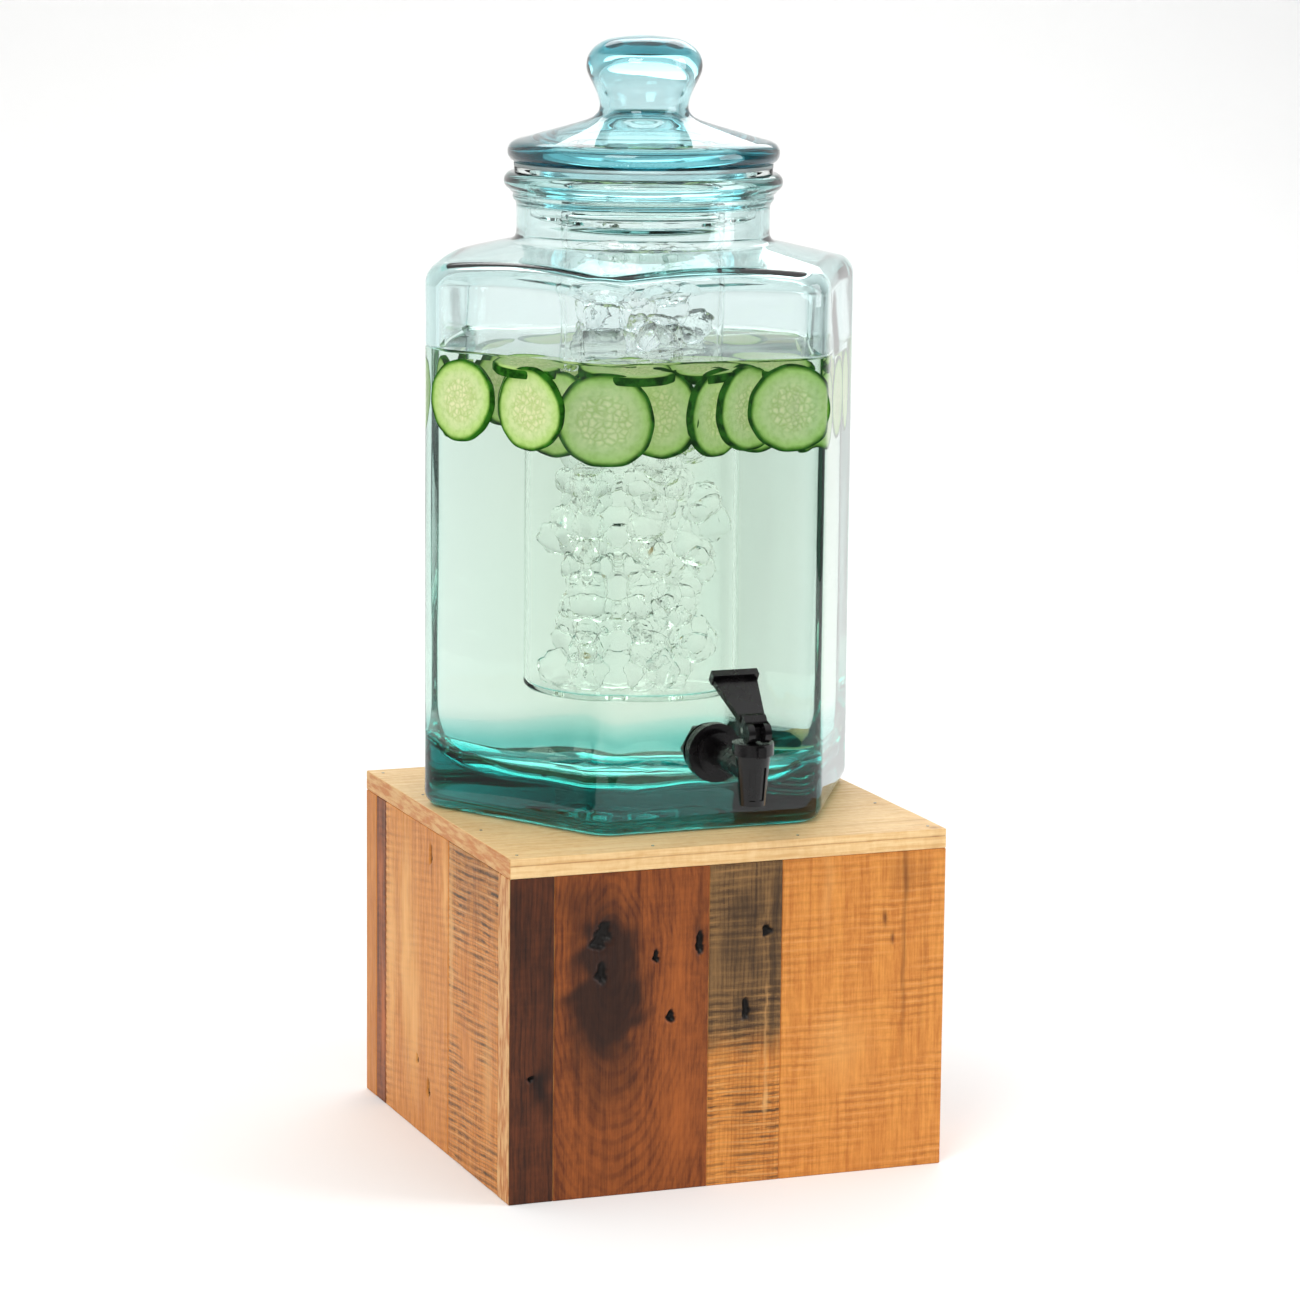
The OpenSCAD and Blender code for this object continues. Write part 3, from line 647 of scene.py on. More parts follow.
# per board: finish, ring width, saw marks (strength, slant), fresh cut on the edges, knots (across, up,
# width, height), holes (across, up, half width, half height), stains (across, up, width, height, strength),
# golden part below (height, softness), extra saw marks (full at, none at); across runs from the side's left,
# and lengths are in mm
boardLooks = {
    "front_plank_1": {
        "finish": "umber", "rings": 2.6, "saw": (0.10, 0.0), "cut": 1.0,
        "holes": [(12.2, 67.7, 1.5, 1.7)],
        "stains": [(4, 150, 12, 46, 0.5), (20, 120, 6, 60, 0.5), (18, 62, 7, 14, 0.75),
                   (6, 40, 9, 12, -0.3)]},
    "front_plank_2": {
        "finish": "russet", "rings": 3.1, "saw": (0.10, 0.0), "cut": 1.0,
        "knots": [(57.5, 133, 15, 23)],
        "holes": [(52.5, 144, 4.2, 5.0), (49.5, 139.0, 3.6, 4.2), (51.5, 121.5, 2.6, 5.4),
                  (91.1, 95.4, 2.2, 3.0), (107.2, 133.6, 2.0, 6.5), (82.5, 128.5, 1.6, 3.2)],
        "stains": [(57, 132, 22, 25, 0.60), (56, 134, 12, 14, 0.75), (58, 107, 26, 17, 0.80),
                   (55, 90, 17, 14, 0.55), (50, 160, 22, 18, 0.30), (58, 64, 24, 28, 0.52),
                   (40, 100, 10, 50, 0.22), (107, 140, 6, 34, 0.45), (30, 165, 8, 16, 0.3),
                   (94, 112, 12, 34, -0.50),
                   (98, 40, 14, 40, -0.45), (36, 24, 12, 20, -0.2), (58, 16, 20, 16, 0.2)]},
    "front_plank_3": {
        "finish": "weathered", "rings": 2.4, "saw": (0.95, 0.0), "cut": 1.0,
        "holes": [(146.0, 138.3, 2.6, 2.9), (134.5, 95.8, 1.9, 5.6)],
        "stains": [(133, 152, 16, 16, 0.55), (124, 130, 12, 14, 0.35), (151, 150, 4, 40, 0.6),
                   (140, 122, 16, 14, 0.35), (134, 96, 7, 12, 0.5), (150, 96, 4, 26, 0.5),
                   (134, 44, 26, 40, 0.24), (120, 168, 10, 10, -0.3), (147, 44, 4, 9, -0.5),
                   (146, 90, 1.6, 90, -0.7)],
        "golden": (76, 10)},
    "front_plank_4": {
        "finish": "gold", "rings": 5.2, "saw": (0.42, 0.0), "cut": 1.0,
        "stains": [(226, 120, 1.6, 90, 0.5), (238, 100, 2.4, 90, 0.25), (160, 100, 3, 60, 0.25),
                   (180, 160, 5, 40, -0.35), (215, 138, 1.5, 4, 0.9), (219, 130, 1.2, 3, 0.8),
                   (190, 70, 26, 30, -0.35), (225, 165, 18, 12, 0.3)]},
    "left_plank_1": {
        "finish": "weathered", "rings": 3.0, "saw": (1.0, -0.07), "cut": 0.6,
        "stains": [(152, 120, 5, 70, -0.75), (215, 60, 8, 50, -0.5), (190, 150, 24, 20, 0.25),
                   (150, 60, 2, 60, 0.5)],
        "golden": (190, 60)},
    "left_plank_2": {
        "finish": "gold", "rings": 4.6, "saw": (0.25, -0.16), "cut": 0.6,
        "holes": [(117.5, 161.4, 1.7, 4.8), (113.6, 28.2, 1.8, 4.4), (94.0, 41.0, 1.6, 2.2)],
        "stains": [(84, 95, 46, 110, -0.35), (45, 90, 10, 80, -0.5), (72, 110, 8, 60, -0.45),
                   (88, 60, 9, 40, -0.3), (60, 40, 6, 30, 0.35), (104, 120, 8, 30, 0.22),
                   (117, 158, 5, 12, 0.55), (114, 30, 6, 12, 0.5), (142, 150, 5, 30, -0.6)],
        "sawFrom": (30, 52)},
    "left_plank_3": {
        "finish": "russet", "rings": 2.6, "saw": (0.3, -0.12), "cut": 0.4,
        "stains": [(28, 130, 6, 30, -0.6), (31, 50, 5, 40, -0.8), (22, 90, 2, 60, 0.6),
                   (30, 165, 6, 14, 0.5)]},
    "right_plank_1": {
        "finish": "gold", "rings": 4.0, "saw": (0.35, 0.05), "cut": 0.6,
        "knots": [(52, 60, 7, 10)], "holes": [(52, 60, 2.0, 2.6), (40, 150, 1.5, 1.8)],
        "stains": [(50, 60, 14, 20, 0.5), (30, 120, 6, 60, -0.3)]},
    "right_plank_2": {
        "finish": "russet", "rings": 3.4, "saw": (0.15, 0.03), "cut": 0.6,
        "knots": [(135, 105, 10, 15)], "holes": [(135, 105, 2.4, 3.4), (100, 30, 1.6, 1.8)],
        "stains": [(135, 100, 22, 30, 0.6), (98, 60, 8, 50, -0.4), (160, 150, 10, 20, 0.4)]},
    "right_plank_3": {
        "finish": "weathered", "rings": 2.8, "saw": (0.9, 0.05), "cut": 0.6,
        "holes": [(205, 140, 1.6, 1.9), (190, 40, 1.5, 3.5)],
        "stains": [(200, 130, 18, 30, 0.4), (182, 60, 5, 50, -0.6)],
        "golden": (60, 16)},
    "back_plank_1": {
        "finish": "gold", "rings": 4.4, "saw": (0.4, -0.03), "cut": 0.35,
        "holes": [(232, 120, 1.5, 1.8)], "stains": [(200, 90, 8, 70, -0.3), (225, 40, 14, 24, 0.3)]},
    "back_plank_2": {
        "finish": "umber", "rings": 2.7, "saw": (0.15, 0.0), "cut": 0.6,
        "holes": [(150, 60, 1.6, 2.0)], "stains": [(150, 60, 10, 20, 0.5), (165, 130, 6, 40, -0.4)]},
    "back_plank_3": {
        "finish": "weathered", "rings": 3.0, "saw": (0.9, 0.06), "cut": 0.6,
        "knots": [(90, 120, 9, 13)], "holes": [(90, 120, 2.2, 3.0), (60, 30, 1.5, 1.7)],
        "stains": [(90, 118, 20, 28, 0.5), (118, 80, 6, 60, -0.5)],
        "golden": (80, 20)},
    "back_plank_4": {
        "finish": "russet", "rings": 3.2, "saw": (0.12, 0.0), "cut": 0.6,
        "stains": [(20, 90, 9, 50, 0.4), (36, 150, 6, 20, -0.4)]},
}


def blob(across, up, places, wobble=0.0):
    # sum of soft ellipses, each (across, up, half width, half height, strength); narrow ones wobble less
    total = np.zeros(np.broadcast(across, up).shape)
    for x, z, wide, tall, strength in places:
        off = wobble * min(1, wide / 9)
        farX, farZ = (across + off - x) / wide, (up - wobble - z) / tall
        total += strength * np.exp(-(farX**2 + farZ**2) * 1.1)
    return total


def boardSection(wide, thick, spacing, sidePoints):
    # a board's outline (across, outwards), anticlockwise seen from the high end, with its normals:
    # show face, edge, side, edge, hidden face, edge, side, edge
    r = boardShape["edge"]
    x, y = wide / 2, thick / 2
    turn = np.radians(np.linspace(0, 90, 5))
    side = np.linspace(y - r * 1.4, -y + r * 1.4, sidePoints)
    face = np.linspace(-x + r * 1.2, x - r * 1.2, max(int(wide / spacing), 4))
    back = np.linspace(x - r * 1.4, -x + r * 1.4, 8)

    def edge(cx, cy, start):
        return np.stack([cx + r * np.sin(start + turn), cy + r * np.cos(start + turn)], axis=-1)

    points = np.concatenate([
        np.stack([face, 0 * face + y], axis=-1), edge(x - r, y - r, 0),
        np.stack([0 * side + x, side], axis=-1), edge(x - r, -y + r, math.pi / 2),
        np.stack([back, 0 * back - y], axis=-1), edge(-x + r, -y + r, math.pi),
        np.stack([0 * side - x, -side], axis=-1), edge(-x + r, y - r, 1.5 * math.pi)])
    normal = points - np.clip(points, [-x + r, -y + r], [x - r, y - r])
    normal /= np.linalg.norm(normal, axis=1)[:, None]
    return points, normal


def carriedBoard(size, spacing, sidePoints=8):
    # the section carried along the board, drawn in at both ends on a quarter circle
    wide, long, thick = size
    r = boardShape["edge"]
    turn = np.radians([0, 35, 65, 90])
    start, drawIn = r * (1 - np.cos(turn)), r * (1 - np.sin(turn))
    middle = np.linspace(r * 1.3, long - r * 1.3, int(long / spacing[1]))
    along = np.concatenate([start, middle, long - start[::-1]])
    inset = np.concatenate([drawIn, 0 * middle, drawIn[::-1]])
    points, normal = boardSection(wide, thick, spacing[0], sidePoints)
    rings = points[None] - inset[:, None, None] * normal[None]
    return rings[..., 0], np.broadcast_to(along[:, None], rings.shape[:2]), rings[..., 1], normal


standHalf = nodeBox("stand_top")[1][0]
sideAxes = {  # across, up and outwards, each seen from outside
    "front": np.array([[1, 0, 0], [0, 0, 1], [0, -1, 0]], float),
    "left": np.array([[0, -1, 0], [0, 0, 1], [-1, 0, 0]], float),
    "right": np.array([[0, 1, 0], [0, 0, 1], [1, 0, 0]], float),
    "back": np.array([[-1, 0, 0], [0, 0, 1], [0, 1, 0]], float),
    "top": np.array([[0, -1, 0], [1, 0, 0], [0, 0, 1]], float),
}


def knotRings(across, up, knots, rings, seed):
    # ring number: nearly upright wavy lines, or nested ellipses round the board's knot
    wave = 2.2 * ripples(across, up * 0.22, 0, seed, 60) + 0.8 * ripples(across, up * 0.3, 0, seed + 1, 18)
    if not knots:
        return (across + wave) / rings
    x, z, wide, tall = knots[0]
    stretch = tall / wide
    ragged = 2.4 * ripples(across, up, 0, seed + 2, 26)
    away = np.sqrt((across - x + 0.5 * wave) ** 2 + ((up - z + ragged) / (1.9 * stretch)) ** 2 + 4)
    return (away + 0.35 * wave + 0.4 * ragged) / rings


def buildBoard(node, side, seed):
    # a carried board, its show face lowered by the sum of saw marks, hollows, knot ripples and nail holes
    look = boardLooks[node]
    low, high = nodeBox(node)
    axes = sideAxes[side]
    middle = (low + high) / 2
    size = np.abs(axes @ (high - low))
    a, b, c, normal = carriedBoard(size, (boardShape["across"], boardShape["along"]))
    local = np.stack([a, b - size[1] / 2, c], axis=-1)
    across = (a + axes[0] @ middle + standHalf) / mm  # millimetres, on the whole side of the stand
    up = (b + low[2]) / mm
    onFace = np.broadcast_to(np.clip((normal[:, 1] - 0.25) / 0.5, 0, 1), a.shape)
    strength, slant = look["saw"]
    sawLine = up + slant * across + 0.5 * ripples(across, up, 0, seed + 3, 38)
    sawPhase = sawLine / (boardShape["sawPitch"] / mm)
    share = np.clip(0.62 + 0.5 * ripples(across * 0.7, up, 0, seed + 4, 30), 0, 1) * strength
    if "sawFrom" in look:
        full, none = look["sawFrom"]
        share = np.clip(share + 0.75 * np.clip((none - across) / (none - full), 0, 1), 0, 1)
    knots = look.get("knots", [])
    grain = knotRings(across, up, knots, look["rings"], seed)
    stain = blob(across, up, look.get("stains", []), 3.0 * ripples(across, up, 0, seed + 5, 14))
    hole = np.zeros(a.shape)
    for x, z, wide, tall in look.get("holes", []):
        ragged = 1 + 0.22 * np.sin(3 * np.arctan2(up - z, across - x) + seed)
        ragged = ragged + 0.15 * ripples(across, up, 0, seed, 3)
        away = np.sqrt(((across - x) / wide) ** 2 + ((up - z) / tall) ** 2) / ragged
        hole = np.maximum(hole, np.clip(1.45 - away, 0, 1))
    golden = np.zeros(a.shape)
    if "golden" in look:
        level, soft = look["golden"]
        golden = np.clip((level + 4 * ripples(across, up, 0, seed + 6, 12) - up) / soft * 0.5 + 0.5, 0, 1)
    # depth below the flat face: saw marks, hollows, a raised rim on each knot, nail holes; only ever inwards
    saw = share * boardShape["sawDepth"] * (0.5 - 0.5 * np.cos(2 * np.pi * sawPhase))
    uneven = 0.10 * mm * (1 + ripples(across, up, 0, seed + 7, 40))
    nearKnot = np.clip(blob(across, up, [(*k, 1.0) for k in knots]), 0, 1)
    rim = 0.12 * mm * (1 + np.sin(2 * np.pi * grain)) * nearKnot
    depth = onFace * (saw + uneven + rim + boardShape["holeDepth"] * hole * hole * (3 - 2 * hole))
    local[..., 2] -= depth
    shells = Shells()
    tags = np.stack([grain, sawPhase, share * onFace, stain, hole * onFace,
                     (1 - onFace) * look["cut"], golden], axis=-1)
    shells.add(local @ axes + middle, tag=tags)
    board = shells.build(node + "_board", tagNames=boardTags, flatEnds=True)
    board.data.materials.append(boardMaterials[look["finish"]])
    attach(board, "stand")
    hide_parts(node)


boardTags = ("grain", "saw", "sawShare", "stain", "hole", "cut", "golden")

# sRGB colours: light and dark of the grain, deep stain, warm patch, fresh cut, saw furrow, saw ridge
woodFinishes = {
    "umber": ("603016", "30170b", "120704", "8a4522", "dcae74", "210f08", "70401f"),
    "russet": ("96501f", "5c2a0f", "1f0d06", "c06a2c", "d89c58", "4c210e", "ad6228"),
    "weathered": ("84623a", "513a24", "271b13", "dba768", "d49c58", "3d2a1a", "a77c48"),
    "gold": ("dc9344", "b76c2c", "663512", "efb56c", "c47a38", "87491c", "edb06a"),
    "cream": ("f1d09a", "dcb075", "985f2c", "f8e2b6", "c88144", "c09054", "f6d9a2"),
}


def tint(code):  # an sRGB colour code as linear light
    value = np.array([int(code[i:i + 2], 16) for i in (0, 2, 4)]) / 255
    return tuple(np.where(value <= 0.04045, value / 12.92, ((value + 0.055) / 1.055) ** 2.4))


def woodMaterial(name, finish, stretch=(1, 1, 0.04)):
    # colour between light and dark by rings, fibres and streaks, then saw marks, stains and cut edges, and
    # painted shade in the nail holes
    light, dark, deep, warm, fresh, furrow, ridge = (tint(code) for code in woodFinishes[finish])
    mat, tree, shader = newMaterial(name)
    w = Wires(tree)
    fibre = w.noise(w.place(stretch), 1100, 5.0, 0.6)
    streak = w.noise(w.place(stretch, (0.3, 0.2, 0.1)), 170, 4.0, 0.6, 0.4)
    cloud = w.noise(w.place(), 32, 3.0)
    grain = w.maths("ADD", w.attribute("grain"), w.maths("MULTIPLY", cloud, 1.6))
    ring = w.maths("SINE", w.maths("MULTIPLY", grain, 2 * math.pi))
    faint = w.ramp(w.noise(w.place(stretch, (0.7, 0.1, 0.5)), 60, 3.0), 0.30, 0.70, 0.25, 1.0)
    ringLine = w.maths("MULTIPLY", w.ramp(ring, -0.2, 1.0), faint)
    shade = w.maths("ADD", w.maths("MULTIPLY", ringLine, 0.16 if finish == "gold" else 0.36),
                    w.maths("ADD", w.maths("MULTIPLY", w.ramp(fibre, 0.36, 0.66), 0.36),
                            w.maths("MULTIPLY", w.ramp(streak, 0.34, 0.68), 0.42)))
    paleLight, paleDark = (tint(code) for code in woodFinishes["gold"][:2])
    golden = w.attribute("golden")
    mottle = w.ramp(w.noise(w.place((1, 1, 0.5), (0.9, 0.4, 0.6)), 210, 5.0, 0.7), 0.34, 0.68, -0.16, 0.22)
    shade = w.maths("ADD", shade, mottle, clamp=True)
    body = w.mix(shade, w.mix(golden, light, paleLight), w.mix(golden, dark, paleDark))
    # saw marks: dark furrows and pale ridges, broken up along their length
    sawWave = w.maths("COSINE", w.maths("MULTIPLY", w.maths("ADD", w.attribute("saw"),
                                        w.maths("MULTIPLY", streak, 0.30)), 2 * math.pi))
    broken = w.ramp(w.noise(w.place((1, 1, 6), (0.1, 0.4, 0.2)), 55, 4.0, 0.65), 0.36, 0.60)
    share = w.maths("MULTIPLY", w.attribute("sawShare"), broken)
    body = w.mix(w.maths("MULTIPLY", share, w.ramp(sawWave, -0.1, -0.9)), body, w.mix(golden, furrow, dark))
    onRidge = w.maths("MULTIPLY", share, w.ramp(sawWave, 0.35, 0.95, 0.0, 0.75))
    body = w.mix(onRidge, body, w.mix(golden, ridge, warm))
    fine = w.maths("COSINE", w.maths("MULTIPLY", w.maths("ADD", w.maths("MULTIPLY", w.attribute("saw"), 2.37),
                                     w.maths("MULTIPLY", cloud, 0.7)), 2 * math.pi))
    body = w.mix(w.maths("MULTIPLY", w.attribute("sawShare"), w.ramp(fine, 0.0, 1.0, 0.0, 0.35)), body, dark)
    stain = w.attribute("stain")
    rough = w.maths("SUBTRACT", w.maths("MULTIPLY", streak, 0.5), 0.25)
    patchy = w.maths("ADD", stain, w.maths("MULTIPLY", rough, w.ramp(stain, 0.0, 0.3)))
    body = w.mix(w.ramp(patchy, 0.04, 0.92, 0.0, 0.93), body, deep)
    body = w.mix(w.ramp(stain, -0.08, -0.85, 0.0, 0.85), body, warm)
    endLines = w.noise(w.place((1, 0.15, 1) if finish == "cream" else (1, 1, 0.2)), 420, 5.0)
    endGrain = w.mix(w.ramp(endLines, 0.38, 0.66), fresh, dark if finish == "cream" else paleDark)
    body = w.mix(w.attribute("cut"), body, endGrain)
    # painted shade: the nail holes are coloured near black, as the shade inside them
    body = w.mix(w.ramp(w.attribute("hole"), 0.12, 0.55), body, (0.006, 0.004, 0.003))
    tree.links.new(body, shader.inputs["Base Color"])
    tree.links.new(w.ramp(fibre, 0.3, 0.7, 0.42, 0.62), shader.inputs["Roughness"])
    shader.inputs["Specular IOR Level"].default_value = 0.25
    shader.inputs["Coat Weight"].default_value = 0.05
    shader.inputs["Coat Roughness"].default_value = 0.35
    height = w.maths("ADD", w.maths("MULTIPLY", fibre, 0.6), w.maths("MULTIPLY", ringLine, -0.4))
    tree.links.new(w.bump(height, 0.7, 0.00022), shader.inputs["Normal"])
    return mat


topLook = {
    "layerDepth": 0.35 * mm,
    "nailPit": 0.45 * mm,
    "nailPitRadius": 1.3,
    "rings": 7.5,
}


def buildTop():
    # a board laid flat, with nail pits, a glue line round its sides and stains along its edges
    low, high = nodeBox("stand_top")
    nailHigh = nodeBox("pin_nails")[1]
    axes = sideAxes["top"]
    middle = (low + high) / 2
    size = np.abs(axes @ (high - low))
    a, b, c, normal = carriedBoard(size, (1.35 * mm, 1.5 * mm), 26)
    local = np.stack([a, b - size[1] / 2, c], axis=-1)
    world = local @ axes + middle
    x, y = world[..., 0] / mm, world[..., 1] / mm
    onFace = np.broadcast_to(np.clip((normal[:, 1] - 0.25) / 0.5, 0, 1), a.shape)
    onSide = np.broadcast_to(np.clip((np.abs(normal[:, 0]) - 0.5) / 0.4, 0, 1), a.shape)
    # nails: three on each side, at the corners, at a third and at a fifth
    nailX, nailY = nailHigh[0] / mm - 0.8, nailHigh[1] / mm - 0.8
    third, fifth, inner = 2 * standHalf / mm / 6, 2 * standHalf / mm / 5, standHalf / mm - 9.5
    hole = np.zeros(a.shape)
    for px, py in ((nailX, nailY), (third, nailY), (inner, fifth)):
        away = np.hypot(np.abs(x) - px, np.abs(y) - py)
        hole = np.maximum(hole, np.clip(1.6 - away / topLook["nailPitRadius"], 0, 1))
    grain = knotRings(y, x, [], topLook["rings"], 71) + np.where(onSide > 0.5, c / mm * 0.22, 0)
    seam = np.exp(-((c - size[2] / 2 + boardShape["grooveDown"]) / (0.45 * mm)) ** 2) * onSide
    stain = blob(x + 4 * ripples(x, y, 0, 72, 30), y, [
        (118, -60, 10, 60, 0.22), (90, -100, 60, 5, 0.20), (110, -112, 30, 3, 0.3), (-60, -112, 50, 6, -0.4),
        (-110, 60, 12, 50, 0.16), (115, 70, 14, 40, 0.2), (0, 118, 90, 5, 0.2), (122, -121, 4, 4, 0.5),
        (-122, -121, 4, 4, 0.35)]) + 0.55 * seam
    atEnd = np.broadcast_to(np.minimum(b, size[1] - b) < boardShape["edge"] * 0.45, a.shape)
    local[..., 2] -= onFace * (0.08 * mm * (1 + ripples(x * 0.3, y, 0, 73, 30)) + topLook["nailPit"] * hole)
    local[..., 0] -= np.sign(a) * seam * topLook["layerDepth"]
    shells = Shells()
    zero = np.zeros(a.shape)
    tags = np.stack([grain, zero, zero, stain * 1.0, zero, atEnd * 1.0, zero], axis=-1)
    shells.add(local @ axes + middle, tag=tags)
    top = shells.build("stand_top_board", tagNames=boardTags, flatEnds=True)
    top.data.materials.append(boardMaterials["cream"])
    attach(top, "stand")
    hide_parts("stand_top")


boardMaterials = {name: woodMaterial(name + "Board", name) for name in woodFinishes if name != "cream"}
boardMaterials["cream"] = woodMaterial("creamBoard", "cream", (0.04, 1, 1))


def dress(node, material):  # gives a CAD node its material
    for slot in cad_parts[node].material_slots:
        slot.material = material


def buildStand():  # every wall board with a seed of its own, the top, and the pieces inside
    for number, node in enumerate(boardLooks):
        buildBoard(node, node.split("_")[0], 100 + 17 * number)
    buildTop()
    for node in ("stand_bottom", "corner_blocks", "top_cleats"):
        dress(node, sawnPine())
    dress("pin_nails", steelMaterial())


def sawnPine():
    # plain softwood for the pieces inside the stand, upright grain
    if "sawnPine" in bpy.data.materials:
        return bpy.data.materials["sawnPine"]
    mat, tree, shader = newMaterial("sawnPine")
    w = Wires(tree)
    line = w.ramp(w.noise(w.place((1, 1, 0.05)), 420, 4.0, 0.6, 0.6), 0.38, 0.66)
    blotch = w.noise(w.place(), 45, 4.0)
    body = w.mix(line, tint("e9cb95"), tint("c99d62"))
    body = w.mix(w.ramp(blotch, 0.45, 0.75, 0.0, 0.5), body, tint("b98a55"))
    tree.links.new(body, shader.inputs["Base Color"])
    tree.links.new(w.ramp(blotch, 0.3, 0.7, 0.6, 0.8), shader.inputs["Roughness"])
    tree.links.new(w.bump(line, 0.6, 0.0003), shader.inputs["Normal"])
    return mat


def steelMaterial():
    # bright steel with fine scratches; shared by nails, spring and pin
    if "brightSteel" in bpy.data.materials:
        return bpy.data.materials["brightSteel"]
    mat, tree, shader = newMaterial("brightSteel")
    w = Wires(tree)
    scratch = w.noise(w.place((1, 1, 0.2)), 2500, 3.0)
    tree.links.new(w.mix(scratch, tint("8f8c88"), tint("c4c1bc")), shader.inputs["Base Color"])
    shader.inputs["Metallic"].default_value = 1.0
    tree.links.new(w.ramp(scratch, 0.3, 0.7, 0.22, 0.42), shader.inputs["Roughness"])
    return mat


tubeShape = {
    "wall": 3.0 * mm,
    "radius": 45.0 * mm,
    "step": 26 * mm,  # from the lip down to where the collar narrows
    "footRound": 5 * mm,
    "edge": 0.7 * mm,
    "sides": 128,
    "plastic": ((0.60, 0.80, 0.72), 5.0, 1.06, 0.0, (40, 0.00012)),  # tint, density, IOR, roughness, wobble
}


def buildIceTube():
    # one lathe sweep: outside from the middle of the bottom up to the flange, then down the inside
    low, high = nodeBox("ice_tube")
    wall, radius, foot, edge = (tubeShape[k] for k in ("wall", "radius", "footRound", "edge"))
    collar, flange = mouthRadius - 2 * mm, high[0]
    lip, step = jarLip, jarLip - tubeShape["step"]
    outside = np.concatenate([
        [(radius * k, low[2]) for k in (0.25, 0.5, 0.75)],
        arcPoints(radius - foot, low[2] + foot, foot, -90, 0, 8),
        smoothPath([(radius, low[2] + 12 * mm), (radius, step - 6 * mm), (radius + 0.6 * mm, step - 3 * mm),
                    (collar - 2 * mm, step + 1.2 * mm), (collar, step + 4 * mm), (collar, lip - 2 * mm)], 60),
        [(collar, lip), (flange - edge, lip)],
        arcPoints(flange - edge, lip + edge, edge, -90, 0, 4),
        arcPoints(flange - edge, high[2] - edge, edge, 0, 90, 4)])
    inner = collar - wall
    inside = np.concatenate([
        arcPoints(inner + 2 * mm, high[2] - 2 * mm, 2 * mm, 90, 180, 6),
        smoothPath([(inner, high[2] - 4 * mm), (inner, step + 5 * mm),
                    (inner - 2 * mm, step + 2 * mm + wall * 0.6),
                    (radius - wall + 0.8 * mm, step - 1.5 * mm + wall * 0.6), (radius - wall, step - 5 * mm),
                    (radius - wall, low[2] + wall + 6 * mm)], 60),
        arcPoints(radius - wall - 3 * mm, low[2] + wall + 3 * mm, 3 * mm, 0, -90, 8),
        [((radius - wall) * k, low[2] + wall) for k in (0.75, 0.5, 0.25)]])
    grid = lathe(np.concatenate([outside, inside]), jarAxis, tubeShape["sides"])
    wander = ripples(grid[..., 0] * 0.3, grid[..., 1] * 0.3, grid[..., 2], 31, 0.11)
    away = grid[..., :2] - jarAxis[:2]
    grid[..., :2] -= away / np.linalg.norm(away, axis=-1)[..., None] * (0.08 * mm * (1 + wander))[..., None]
    shells = Shells()
    shells.add(grid, jarAxis + [0, 0, low[2]], jarAxis + [0, 0, low[2] + wall])
    tube = shells.build("ice_tube_clear")
    tube.data.materials.append(glassMaterial("tubePlastic", *tubeShape["plastic"]))
    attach(tube, "ice_tube")
    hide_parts("ice_tube")


waterShape = {
    "level": 439.0 * mm,
    "meniscus": 2.2 * mm,  # rise against the glass
    "creep": 2.4 * mm,  # how far from the glass it fades
    "ripple": 0.35 * mm,
    "intoGlass": 0.3 * mm,  # overlap that keeps air out of the joint
    "tint": ((0.40, 0.53, 0.14), 1.85),  # colour and density
}


def buildWater():
    # the jar's inside up to the level, closed by a rippled top that climbs the glass,
    # by e to the minus distance from it
    angle = np.arange(jarShape["sides"]) / jarShape["sides"] * 2 * np.pi
    inset = jarShape["wall"] - waterShape["intoGlass"]
    rows = insideRows(inset, angle)[::-1]  # from the middle of the floor up to the wall's top
    level = waterShape["level"]
    upright = [row for row in rows if row[0, 1] < level - waterShape["meniscus"]]
    reach = jarOutline(inset, angle)[0]
    top = []
    for out in (0.0, 0.4, 0.9, 1.6, 2.6, 4.0, 6.0, 9.0, 14.0, 20.0):
        lift = waterShape["meniscus"] * math.exp(-out * mm / waterShape["creep"])
        top.append(np.stack([reach - out * mm, np.full_like(angle, level + lift)], axis=-1))
    for share in np.linspace(0.95, 0.04, 22):
        top.append(np.stack([(reach - 20 * mm) * share, np.full_like(angle, level)], axis=-1))
    rings = np.stack(upright + top)
    grid = turnRings(rings, angle)
    grid += unevenness(grid, rings[..., 0], angle, inside=True)
    flat = np.arange(len(rings))[:, None] >= len(upright) + 1
    wave = waterShape["ripple"] * ripples(grid[..., 0], grid[..., 1], 0, 41, 0.035)
    grid[..., 2] += np.where(flat, wave, 0)
    shells = Shells()
    shells.add(grid + jarAxis)
    water = shells.build("water_fill")
    water.data.materials.append(glassMaterial("waterClear", *waterShape["tint"], waterIor, wetIor=noBend))
    markFaces(water, lambda centre, row: row < len(upright), len(angle))
    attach(water, "jar")


sliceShape = {
    "thickness": 4.6 * mm,
    "edge": 0.8 * mm,
    "sides": 96,
    "lobes": ((3, 0.018), (2, 0.012), (11, 0.006)),  # waves round the rim and their share of the radius
    "paintedGlow": 0.42,  # painted glow: the slices give off light in their own colours, standing in for light scattered inside the wet flesh
}

